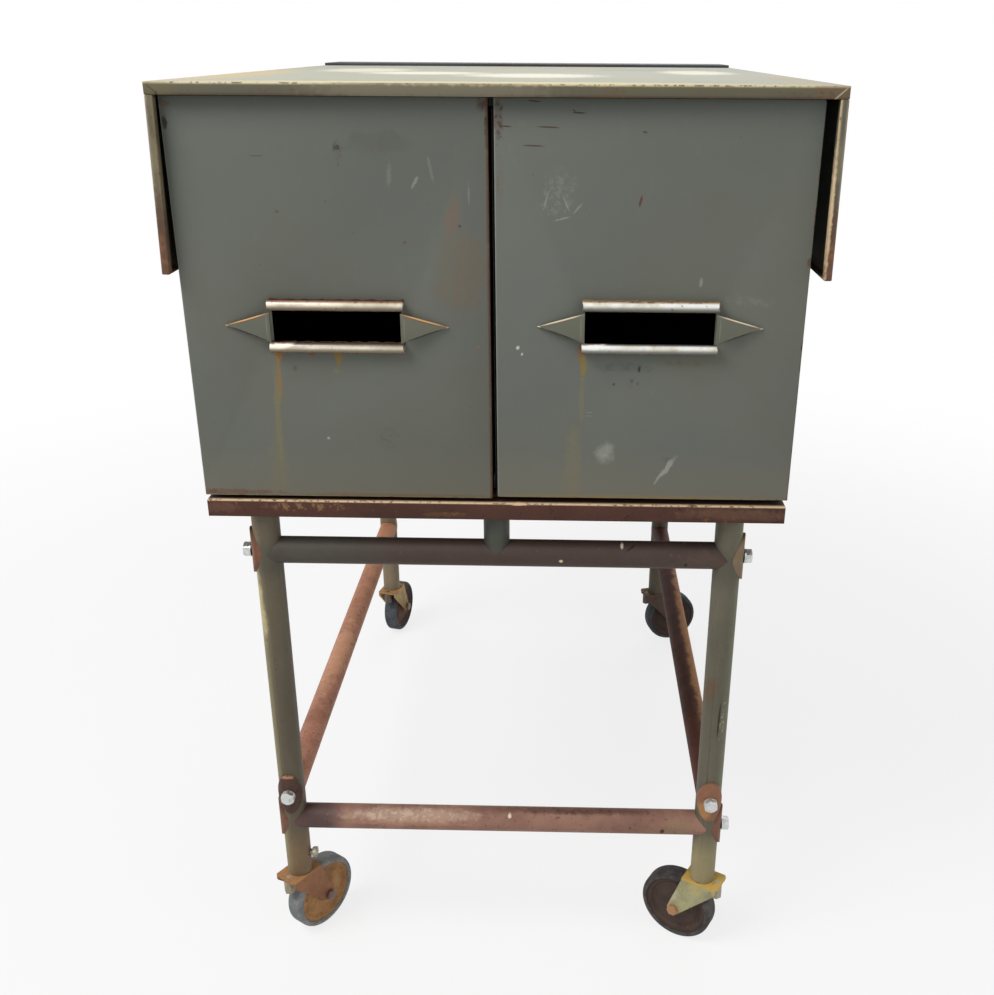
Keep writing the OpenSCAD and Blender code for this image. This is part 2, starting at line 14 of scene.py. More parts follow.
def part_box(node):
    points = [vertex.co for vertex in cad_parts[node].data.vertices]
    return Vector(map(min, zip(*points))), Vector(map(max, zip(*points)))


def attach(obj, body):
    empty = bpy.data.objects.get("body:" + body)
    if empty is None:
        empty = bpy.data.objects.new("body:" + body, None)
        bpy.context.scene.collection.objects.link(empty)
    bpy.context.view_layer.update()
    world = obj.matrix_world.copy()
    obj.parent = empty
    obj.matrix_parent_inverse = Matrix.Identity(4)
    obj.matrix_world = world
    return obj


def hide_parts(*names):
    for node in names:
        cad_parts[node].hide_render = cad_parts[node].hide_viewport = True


bl_info = {"name": "Workshop drawer cabinet", "version": (1, 0, 0), "blender": (4, 5, 0),
    "location": "3D View > Sidebar > Cabinet",
    "description": "Dresses a worn two-drawer cabinet on a tube trolley", "category": "Object"}

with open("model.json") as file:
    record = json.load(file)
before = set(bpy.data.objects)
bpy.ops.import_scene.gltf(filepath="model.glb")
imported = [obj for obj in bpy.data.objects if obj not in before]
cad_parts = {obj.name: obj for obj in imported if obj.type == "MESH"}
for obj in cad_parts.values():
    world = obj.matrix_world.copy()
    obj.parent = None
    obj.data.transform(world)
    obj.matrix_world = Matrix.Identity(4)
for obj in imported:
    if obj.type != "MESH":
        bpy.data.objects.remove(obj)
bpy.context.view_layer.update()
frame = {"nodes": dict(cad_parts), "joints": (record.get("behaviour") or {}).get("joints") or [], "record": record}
MM = 0.001
CORNERS = ("front_left", "front_right", "rear_left", "rear_right")

# Rounding of cut and turned edges, in metres
SHEET_EDGE, BAR_EDGE, NUT_EDGE, SCREW_EDGE, ROD_EDGE = 0.0003, 0.0004, 0.0006, 0.0007, 0.0008
# Points closer than this many metres are one, and faces that meet at less than this many degrees are one face
SAME_POINT, SAME_FACE = 2e-6, 0.4
# Edges sharper than this many degrees are rounded
SHARP = 40.0
# Height of a bolt's head and thickness of its spring washer, in metres
HEAD, WASHER = 0.007, 0.002
# Faces that meet at less than this many degrees are shaded as one, on flat pieces and on round ones
FLAT, ROUND = 35.0, 40.0
# Sizes of the patterns in a worn finish, in millimetres
MOTTLE, STAIN, STREAK, RUSTING, SPECK, PIT, FRESH, RUB, NICK, CRUST = 26, 60, 9, 22, 5, 16, 7, 13, 6, 1.6
# The same for marks that are broken up into dots, for tarnish and wiping marks on steel, and for rubber
DOT, TARNISH, WIPE, BLOOM, CRACK = 5.5, 6.0, 0.7, 14.0, 5.0
# The camera's place in metres, its pitch, yaw and roll in degrees, and its shift
CAMERA_PLACE, CAMERA_TURN, CAMERA_SHIFT = (0.0706, -1.6319, 1.1256), (23.05, -1.14, 0.34), (-0.0452, 0.0164)


def linear(code):
    """Turns an sRGB hex colour into the linear values that shaders take."""
    parts = [int(code[i:i + 2], 16) / 255 for i in (1, 3, 5)]
    return [p / 12.92 if p <= 0.04045 else ((p + 0.055) / 1.055) ** 2.4 for p in parts] + [1.0]


# ---- Sizes and colours that a user may change ----


def colour(label, code, about):
    return bpy.props.FloatVectorProperty(
        name=label, description=about, default=linear(code), size=4, min=0.0, max=1.0, subtype="COLOR")


def length(label, value, low, high, about):
    return bpy.props.FloatProperty(name=label, description=about, default=value, min=low, max=high,
        subtype="DISTANCE", unit="LENGTH")


def power(label, value, about):
    return bpy.props.FloatProperty(name=label, description=about, default=value, min=0.0, max=500.0,
        subtype="POWER", unit="POWER")


class CabinetColours(bpy.types.PropertyGroup):
    """Paints and rusts of the cabinet"""
    drawer: colour("Drawer enamel", "#666962", "Grey-green enamel of the drawer fronts")
    drawer_deep: colour("Drawer enamel, deep", "#686A60", "Warmer tone that drifts through the enamel")
    cover: colour("Cover enamel", "#625F4C", "Olive enamel of the cover's rim and skirts")
    cover_top: colour("Cover top", "#B3B3A2", "Chalked enamel on top of the cover")
    cream: colour("Undercoat", "#D6CDB4", "Cream undercoat where the enamel has worn off")
    rust_dark: colour("Dark rust", "#3B2721", "Old rust in pits and seams")
    rust: colour("Rust", "#6B4535", "Brown rust of the rails and tubes")
    rust_bright: colour("Bright rust", "#A8683B", "Fresh orange rust")
    zinc: colour("Zinc", "#D2D4D3", "Zinc plating of the bolts")


class CabinetSizes(bpy.types.PropertyGroup):
    """Sizes that the solids leave to the finish"""
    fold_radius: length("Fold radius", 0.0011, 0.0002, 0.002, "Rounding of the sheet metal's folds")
    plate_radius: length("Plate radius", 0.0006, 0.0002, 0.002, "Rounding of cut plates and angles")
    bolt_flats: length("Bolt across flats", 0.016, 0.013, 0.019, "Width of the frame bolts' heads")
    bead: length("Weld bead", 0.0026, 0.001, 0.004, "Width of the weld beads beside the handle rods")
    wear: length("Edge wear", 0.006, 0.001, 0.02, "Width of the worn band along the sheets' edges")


class CabinetStage(bpy.types.PropertyGroup):
    """Lights and camera"""
    key_power: power("Key light", 62.0, "Power of the large light at the upper left")
    fill_power: power("Fill light", 16.0, "Power of the light at the right")
    sky: bpy.props.FloatProperty(name="Sky", description="Strength of the even light from all round",
        default=0.42, min=0.0, max=2.0)
    lens: bpy.props.FloatProperty(name="Lens", description="Focal length of the camera", default=40.02,
        min=20.0, max=120.0, unit="CAMERA")


class CabinetSettings(bpy.types.PropertyGroup):
    """All of the cabinet's settings"""
    colours: bpy.props.PointerProperty(type=CabinetColours)
    sizes: bpy.props.PointerProperty(type=CabinetSizes)
    stage: bpy.props.PointerProperty(type=CabinetStage)


# ---- Building materials out of nodes ----


def result(item):
    """A node's first output that is in use."""
    return next(s for s in item.outputs if s.enabled)


def add(tree, kind, inputs=(), **settings):
    """Adds a node, sets it up, and sets or links its inputs. A kind without a prefix is a shader node.

    Inputs come by name, or in order. A node given as a value is linked by its first output, and a hex colour is
    turned to linear.
    """
    item = tree.nodes.new(kind if "Node" in kind else "ShaderNode" + kind)
    for name, value in settings.items():
        setattr(item, name, value)
    for name, value in inputs.items() if isinstance(inputs, dict) else enumerate(inputs):
        socket = item.inputs[name] if isinstance(name, int) else next(
            s for s in item.inputs if s.enabled and s.name == name)
        if isinstance(value, bpy.types.Node):
            value = result(value)
        if isinstance(value, bpy.types.NodeSocket):
            tree.links.new(value, socket)
        else:
            socket.default_value = linear(value) if isinstance(value, str) and value[0] == "#" else value
    return item


def blotches(tree, where, size, low, high, seed=0.0, stretch=None, detail=4.0):
    """Ragged patches about size millimetres across, 0 outside and 1 inside."""
    if stretch:
        where = add(tree, "VectorMath", [where, stretch], operation="MULTIPLY")
    cloud = add(
        tree, "TexNoise",
        {"Vector": where, "W": seed, "Scale": 1000.0 / size, "Detail": detail, "Roughness": 0.62},
        noise_dimensions="4D")
    return add(tree, "MapRange", [cloud, low, high], interpolation_type="SMOOTHSTEP")


def near(tree, axes, bands):
    """1 where every band is. A band is an axis, a place and a width in millimetres, over which it fades."""
    found = None
    for axis, place, width in bands:
        off = add(tree, "Math", [axes[axis], place * MM], operation="SUBTRACT")
        far = add(tree, "Math", [off], operation="ABSOLUTE")
        one = add(tree, "MapRange", [far, 0.0, width * MM, 1.0, 0.0], interpolation_type="SMOOTHSTEP")
        found = add(tree, "Math", [found, one], operation="MULTIPLY") if found else one
    return found


def mark(tree, where, clouds, centre, reach, ragged, speckle=0.0, turn=0.0):
    """One stain, scratch, chip or patch of painted light or shade: 1 in its middle, 0 past its ragged outline.
    Sizes in millimetres.

    clouds keeps the noise that marks of one size share. speckle breaks a mark up into dots.
    """
    local = add(
        tree, "Mapping",
        {"Vector": where, "Location": Vector(centre) * MM, "Rotation": (0.0, turn, 0.0),
        "Scale": Vector(reach) * MM}, vector_type="TEXTURE")
    far = add(tree, "VectorMath", [local], operation="LENGTH")
    # The smaller the mark, the finer its ragged outline
    grain = 4.0 if min(reach) < 4.0 else 9.0 if min(reach) < 12.0 else 26.0
    if grain not in clouds:
        clouds[grain] = add(
            tree, "TexNoise", {"Vector": where, "Scale": 1000.0 / grain, "Detail": 5.0, "Roughness": 0.7})
    bent = add(tree, "Math", [clouds[grain], ragged * 2.0, far.outputs["Value"]], operation="MULTIPLY_ADD")
    mask = add(tree, "MapRange", [bent, 0.45 + ragged, 1.0 + ragged, 1.0, 0.0], interpolation_type="SMOOTHSTEP")
    if speckle:
        if "dots" not in clouds:
            clouds["dots"] = blotches(tree, where, DOT, 0.47, 0.60, 2.5)
        dots = add(tree, "Math", [clouds["dots"], speckle, 1.0 - speckle], operation="MULTIPLY_ADD")
        mask = add(tree, "Math", [mask, dots], operation="MULTIPLY")
    return mask


def over(tree, below, above, amount, strength=1.0):
    """Lays one colour over another where amount is 1."""
    if strength != 1.0:
        amount = add(tree, "Math", [amount, strength], operation="MULTIPLY")
    return add(tree, "Mix", {"Factor": amount, "A": below, "B": above}, data_type="RGBA")


def blank_tree(owner):
    """The node tree of a material or a world, emptied."""
    owner.use_nodes = True
    owner.node_tree.nodes.clear()
    return owner.node_tree


def start_material(name, lean=0.0):
    """An empty material, its shader, and the piece's own coordinates in metres, stood upright again by lean."""
    material = bpy.data.materials.new(name)
    tree = blank_tree(material)
    shader = add(tree, "BsdfPrincipled")
    add(tree, "OutputMaterial", {"Surface": shader})
    where = add(tree, "TexCoord").outputs["Object"]
    if lean:
        where = add(tree, "Mapping", {"Vector": where, "Rotation": (0.0, lean, 0.0)})
    return material, tree, shader, where


def feed(tree, shader, **sources):
    """Links nodes to a shader's inputs, whose names are written with underscores."""
    for name, source in sources.items():
        tree.links.new(result(source), shader.inputs[name.replace("_", " ")])


def worn(name, coat, deep, rust=None, level=0.5, edges=(), lines=(), fades=(), marks=(), pits=0.35, drift=170.0,
        sheen=0.45, stretch=None, seed=0.0, top=None, darkening=0.3, fine=0.12, dust=None, lean=0.0, shine=0.3):
    """Enamel on rusted steel: broad drift between two tones, fine mottling, rust in pits and along edges.

    level is how much rust there is, from 0 to 1.
    top is (height, colour, strength, calm): a flat top face of its own tone, with calm times less rust.
    fades are (axis, from, to, colour, strength): the tone drifts to a colour along an axis.
    edges are (strength, band, ...): rust gathers where all the bands meet.
    lines are (colour, strength, patchy, nicks, band, ...): a line of colour, used for rubbed edges and for painted
    light and shade, in patches and nicked with rust.
    marks are (centre x, y, z, reach x, y, z, colour, strength, ragged[, speckle[, turn]]). One with no colour
    is dark rust. All places are in millimetres.
    """
    material, tree, shader, where = start_material(name, lean)
    paints = bpy.context.scene.cabinet.colours
    dark, mid, bright = rust or (paints.rust_dark, paints.rust, paints.rust_bright)
    axes = add(tree, "SeparateXYZ", {"Vector": where}).outputs

    # Broad drift of tone, then mottling a few centimetres across
    tone = over(tree, coat, deep, blotches(tree, where, drift, 0.38, 0.66, seed, stretch))
    cloud = add(
        tree, "TexNoise",
        {"Vector": where, "W": seed + 3.0, "Scale": 1000.0 / MOTTLE, "Detail": 7.0, "Roughness": 0.68},
        noise_dimensions="4D")
    for axis, start, stop, code, strength in fades:
        wavy = add(tree, "Math", [cloud, abs(stop - start) * 0.5 * MM, axes[axis]], operation="MULTIPLY_ADD")
        shift = abs(stop - start) * 0.25
        along = add(tree, "MapRange", [wavy, (start + shift) * MM, (stop + shift) * MM])
        tone = over(tree, tone, code, along, strength)
    up, calm = None, 0.0
    if top:
        place, code, strength, calm = top
        up = add(tree, "MapRange", [axes["Z"], (place - 0.9) * MM, (place - 0.2) * MM])
        tone = over(tree, tone, code, up, strength)
    value = add(tree, "MapRange", [cloud, 0.3, 0.7, 1.0 - fine, 1.0 + fine])
    tone = add(tree, "HueSaturation", {"Color": tone, "Value": value})
    if dust:
        # Dust and scuffs that lie in fine streaks
        tone = over(
            tree, tone, dust, blotches(tree, where, STREAK, 0.56, 0.78, seed + 9.0, (1.0, 1.0, 0.35), 6.0), 0.2)
    tone = over(tree, tone, dark, blotches(tree, where, STAIN, 0.45, 0.75, seed + 5.0, stretch), darkening * 0.5)

    # Where rust is: a threshold on noise, lowered along the edges, and specks about a millimetre across
    field = add(
        tree, "TexNoise",
        {"Vector": where, "W": seed + 1.0, "Scale": 1000.0 / RUSTING, "Detail": 8.0, "Roughness": 0.72},
        noise_dimensions="4D")
    field = add(tree, "Math", [field, level * 0.62], operation="ADD")
    for strength, *bands in edges:
        field = add(tree, "Math", [near(tree, axes, bands), strength * 0.35, field], operation="MULTIPLY_ADD")
    rusty = add(tree, "MapRange", [field, 0.78, 0.86], interpolation_type="SMOOTHSTEP")
    specks = blotches(tree, where, SPECK, 0.70 - 0.16 * pits, 0.78 - 0.16 * pits, seed + 2.0)
    specks = add(tree, "Math", [specks, 0.8], operation="MULTIPLY")
    rusty = add(tree, "Math", [rusty, specks], operation="MAXIMUM")
    if up:
        less = add(tree, "Math", [up, -calm, 1.0], operation="MULTIPLY_ADD")
        rusty = add(tree, "Math", [rusty, less], operation="MULTIPLY")

    # Rust is dark in its pits and orange where it is fresh
    ore = over(tree, dark, mid, blotches(tree, where, PIT, 0.32, 0.6, seed + 6.0))
    ore = over(tree, ore, bright, blotches(tree, where, FRESH, 0.5, 0.72, seed + 7.0), 0.75)
    tone = over(tree, tone, ore, rusty)
    for code, strength, patchy, nicks, *bands in lines:
        rubbed = near(tree, axes, bands)
        if patchy:
            patches = blotches(tree, where, RUB, 0.5 * patchy, 0.5 * patchy + 0.15, seed + 8.0)
            rubbed = add(tree, "Math", [rubbed, patches], operation="MULTIPLY")
        tone = over(tree, tone, code, rubbed, strength)
        if nicks:
            holes = blotches(tree, where, NICK, 0.66 - 0.2 * nicks, 0.72 - 0.2 * nicks, seed + 4.0)
            holes = add(tree, "Math", [holes, near(tree, axes, bands)], operation="MULTIPLY")
            tone = over(tree, tone, mid, holes, 0.9)
    clouds = {}
    for x, y, z, rx, ry, rz, code, strength, *kind in marks:
        stain = mark(tree, where, clouds, (x, y, z), (rx, ry, rz), *kind)
        tone = over(tree, tone, code or dark, stain, strength)

    gloss = add(tree, "MapRange", [rusty, 0.0, 1.0, 1.0 - sheen, 0.93])
    gloss = add(tree, "Math", [cloud, 0.18, gloss], operation="MULTIPLY_ADD")
    gloss = add(tree, "Math", [gloss, 0.09], operation="SUBTRACT")
    # Real grains of rust are finer: these are as coarse as they need to be to show
    crust = add(tree, "TexNoise", {"Vector": where, "Scale": 1000.0 / CRUST, "Detail": 4.0, "Roughness": 0.6})
    relief = add(tree, "Math", [crust, rusty], operation="MULTIPLY")
    relief = add(tree, "Math", [cloud, 0.25, relief], operation="MULTIPLY_ADD")
    bump = add(tree, "Bump", {"Strength": 0.35, "Distance": 0.0006, "Height": relief})
    shader.inputs["Specular IOR Level"].default_value = shine
    feed(tree, shader, Base_Color=tone, Roughness=gloss, Normal=bump)
    return material


def plated(name, code, dull, rough=0.32, seed=0.0, tarnish=0.35):
    """Plated or turned steel: clean metal with fine wiping marks, dulled and stained in patches."""
    material, tree, shader, where = start_material(name)
    stain = blotches(tree, where, TARNISH, 0.45, 0.7, seed)
    tone = over(tree, code, dull, stain, tarnish)
    # Real wiping marks are finer: these are as coarse as they need to be to show
    scratch = add(tree, "TexNoise", {"Vector": where, "Scale": 1000.0 / WIPE, "Detail": 2.0})
    shine = add(tree, "MapRange", [stain, 0.0, 1.0, rough, rough + 0.3])
    bump = add(tree, "Bump", {"Strength": 0.2, "Distance": 0.0002, "Height": scratch})
    shader.inputs["Metallic"].default_value = 0.85
    feed(tree, shader, Base_Color=tone, Roughness=shine, Normal=bump)
    return material


def aged_rubber(name, code, dusty, seed=0.0):
    """Solid rubber tyre: chalky bloom and fine cracks."""
    material, tree, shader, where = start_material(name)
    bloom = blotches(tree, where, BLOOM, 0.36, 0.66, seed)
    tone = over(tree, code, dusty, bloom, 0.7)
    cracks = add(tree, "TexVoronoi", {"Vector": where, "Scale": 1000.0 / CRACK}, feature="DISTANCE_TO_EDGE")
    line = add(tree, "MapRange", [cracks, 0.0, 0.05, 1.0, 0.0])
    tone = over(tree, tone, "#1E1F20", line, 0.35)
    bump = add(tree, "Bump", {"Strength": 0.4, "Distance": 0.0004, "Height": bloom})
    shader.inputs["Roughness"].default_value = 0.82
    feed(tree, shader, Base_Color=tone, Normal=bump)
    return material


# ---- Shapes ----


def settle(piece, finish, body, nodes=()):
    """Gives a finished piece its material, the body it rides on, and the solids that it stands for."""
    piece.data.materials.clear()
    piece.data.materials.append(finish)
    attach(piece, body)
    if nodes:
        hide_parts(*nodes)


def placed(name, data):
    """A new object at the origin."""
    item = bpy.data.objects.new(name, data)
    bpy.context.scene.collection.objects.link(item)
    return item


def shade(mesh, smooth):
    """Shades a mesh smooth, except across edges sharper than smooth degrees."""
    for face in mesh.polygons:
        face.use_smooth = True
    mesh.set_sharp_from_angle(angle=math.radians(smooth))


def new_piece(name, shape, smooth=FLAT):
    """Turns a bmesh into an object."""
    mesh = bpy.data.meshes.new(name)
    shape.to_mesh(mesh)
    shape.free()
    shade(mesh, smooth)
    return placed(name, mesh)


def baked(piece):
    """Applies a piece's modifiers to its mesh."""
    graph = bpy.context.evaluated_depsgraph_get()
    plain = bpy.data.meshes.new_from_object(piece.evaluated_get(graph), depsgraph=graph)
    old = piece.data
    piece.modifiers.clear()
    piece.data = plain
    bpy.data.meshes.remove(old)
    return piece


def copy_of(node, radius, smooth, steps):
    """Copies a solid as one merged mesh with rounded edges."""
    shape = bmesh.new()
    shape.from_mesh(frame["nodes"][node].data)
    bmesh.ops.remove_doubles(shape, verts=shape.verts, dist=SAME_POINT)
    bmesh.ops.dissolve_limit(shape, angle_limit=math.radians(SAME_FACE), verts=shape.verts, edges=shape.edges)
    piece = new_piece("worn_" + node, shape, smooth)
    if radius:
        cut = piece.modifiers.new("Rounding", "BEVEL")
        cut.width = radius
        cut.segments = steps
        cut.limit_method = "ANGLE"
        cut.angle_limit = math.radians(SHARP)
        cut.use_clamp_overlap = True
        baked(piece)
        shade(piece.data, smooth)
    return piece


def body_of(node):
    """The body that carries a solid."""
    return next(body for body, nodes in frame["record"]["behaviour"]["bodies"].items() if node in nodes)


def dress(node, finish, radius=0.0, smooth=FLAT, steps=2):
    """Copies one solid, rounds it, finishes it and puts it in the solid's place."""
    settle(copy_of(node, radius, smooth, steps), finish, body_of(node), [node])


def middle(node):
    """The middle of a solid's box."""
    low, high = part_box(node)
    return (Vector(low) + Vector(high)) / 2


def axle_of(corner):
    """The middle of a caster's axle."""
    return Vector(next(j for j in frame["joints"] if j["name"] == corner + "_roll")["pos_m"])


def hex_head():
    """A hex head one unit across flats and one high, with the round chamfer that cuts its upper corners."""
    steps, inner, slope = 36, 0.47, 1.4
    shape = bmesh.new()
    rings = [[], [], []]
    for i in range(steps):
        angle = math.tau * i / steps
        radius = 0.5 / math.cos((angle + math.radians(5.0)) % (math.tau / 6) - math.tau / 12)
        spots = ((radius, 0.0), (radius, 1.0 - (radius - inner) * slope), (inner, 1.0))
        for ring, (r, z) in zip(rings, spots):
            ring.append(shape.verts.new((r * math.cos(angle), r * math.sin(angle), z)))
    for low, high in zip(rings, rings[1:]):
        for i in range(steps):
            j = (i + 1) % steps
            shape.faces.new((low[i], low[j], high[j], high[i]))
    shape.faces.new(rings[2])
    shape.faces.new(rings[0][::-1])
    return shape


# ---- Geometry Nodes ----


def open_tree(name, output, **inputs):
    """A node tree with one output and named inputs, each a kind of socket or a number that is its default."""
    tree = bpy.data.node_groups.new(name, "GeometryNodeTree")
    for label, value in inputs.items():
        kind = {float: "Float", int: "Int"}.get(type(value), value)
        socket = tree.interface.new_socket(
            label.replace("_", " "), in_out="INPUT", socket_type="NodeSocket" + kind)
        if kind != value:
            socket.default_value = value
    tree.interface.new_socket(output, in_out="OUTPUT", socket_type="NodeSocketGeometry")
    return tree, add(tree, "NodeGroupInput").outputs


def bolt_tree():
    """Hex heads on spring washers, one on each point, each turned a little by chance."""
    tree, given = open_tree("Hex heads on points", "Heads", Points="Geometry", Head="Object",
        Across_flats=0.016, Head_height=HEAD, Washer_width=0.017, Washer_thickness=WASHER, Seed=3,
        Finish="Material")
    size = add(
        tree, "CombineXYZ", {"X": given["Across flats"], "Y": given["Across flats"], "Z": given["Head height"]})
    seat = add(tree, "CombineXYZ", {"Z": given["Washer thickness"]})
    pattern = add(tree, "GeometryNodeObjectInfo", {"Object": given["Head"]})
    head = add(
        tree, "GeometryNodeTransform",
        {"Geometry": pattern.outputs["Geometry"], "Translation": seat, "Scale": size})
    half = add(tree, "Math", [given["Washer width"], 0.5], operation="MULTIPLY")
    disc = add(
        tree, "GeometryNodeMeshCylinder", {"Vertices": 36, "Radius": half, "Depth": given["Washer thickness"]})
    lift = add(tree, "Math", [given["Washer thickness"], 0.5], operation="MULTIPLY")
    lift = add(tree, "CombineXYZ", {"Z": lift})
    disc = add(tree, "GeometryNodeTransform", {"Geometry": disc.outputs["Mesh"], "Translation": lift})
    both = add(tree, "GeometryNodeJoinGeometry", {"Geometry": head})
    tree.links.new(disc.outputs["Geometry"], both.inputs["Geometry"])
    turn = add(tree, "GeometryNodeInputNamedAttribute", {"Name": "turn"}, data_type="FLOAT_VECTOR")
    aim = add(tree, "FunctionNodeEulerToRotation", [turn.outputs["Attribute"]])
    many = add(
        tree, "GeometryNodeInstanceOnPoints", {"Points": given["Points"], "Instance": both, "Rotation": aim})
    chance = add(tree, "FunctionNodeRandomValue", {"Min": 0.45, "Max": 0.77, "Seed": given["Seed"]},
        data_type="FLOAT")
    spin = add(tree, "FunctionNodeEulerToRotation", [add(tree, "CombineXYZ", {"Z": chance})])
    many = add(tree, "GeometryNodeRotateInstances", {"Instances": many, "Rotation": spin, "Local Space": True})
    solid = add(tree, "GeometryNodeRealizeInstances", {"Geometry": many})
    done = add(tree, "GeometryNodeSetMaterial", {"Geometry": solid, "Material": given["Finish"]})
    add(tree, "NodeGroupOutput", {"Heads": done})
    return tree


def bead_tree():
    """A run of weld: overlapping flattened drops along a polyline, of uneven size."""
    tree, given = open_tree("Weld along a line", "Weld", Line="Geometry", Width=0.0026, Spacing=0.0018, Seed=5,
        Finish="Material")
    path = add(tree, "GeometryNodeMeshToCurve", {"Mesh": given["Line"]})
    drops = add(tree, "GeometryNodeCurveToPoints", {"Curve": path, "Length": given["Spacing"]}, mode="LENGTH")
    radius = add(tree, "Math", [given["Width"], 0.5], operation="MULTIPLY")
    drop = add(tree, "GeometryNodeMeshIcoSphere", {"Radius": radius, "Subdivisions": 2})
    size = add(tree, "FunctionNodeRandomValue", {"Min": 0.6, "Max": 1.15, "Seed": given["Seed"]},
        data_type="FLOAT")
    many = add(
        tree, "GeometryNodeInstanceOnPoints",
        {"Points": drops.outputs["Points"], "Instance": drop.outputs["Mesh"], "Scale": size})
    solid = add(tree, "GeometryNodeRealizeInstances", {"Geometry": many})
    done = add(tree, "GeometryNodeSetMaterial", {"Geometry": solid, "Material": given["Finish"]})
    add(tree, "NodeGroupOutput", {"Weld": done})
    return tree


def grown(name, tree, points, turns=(), lines=(), smooth=30.0, **inputs):
    """Runs a node tree over points or lines and keeps the plain mesh."""
    mesh = bpy.data.meshes.new(name)
    mesh.from_pydata([tuple(p) for p in points], list(lines), [])
    if turns:
        attribute = mesh.attributes.new("turn", "FLOAT_VECTOR", "POINT")
        attribute.data.foreach_set("vector", [value for turn in turns for value in turn])
    piece = placed(name, mesh)
    modifier = piece.modifiers.new("Nodes", "NODES")
    modifier.node_group = tree
    sockets = {
        item.name: item.identifier
        for item in tree.interface.items_tree if item.item_type == "SOCKET" and item.in_out == "INPUT"}
    for label, value in inputs.items():
        modifier[sockets[label.replace("_", " ").capitalize()]] = value
    baked(piece)
    shade(piece.data, smooth)
    return piece


# ---- Operators, one for each group of pieces ----


def walls(node):
    """The lowest and highest corners of a solid's box, in millimetres."""
    return [Vector(v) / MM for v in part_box(node)]


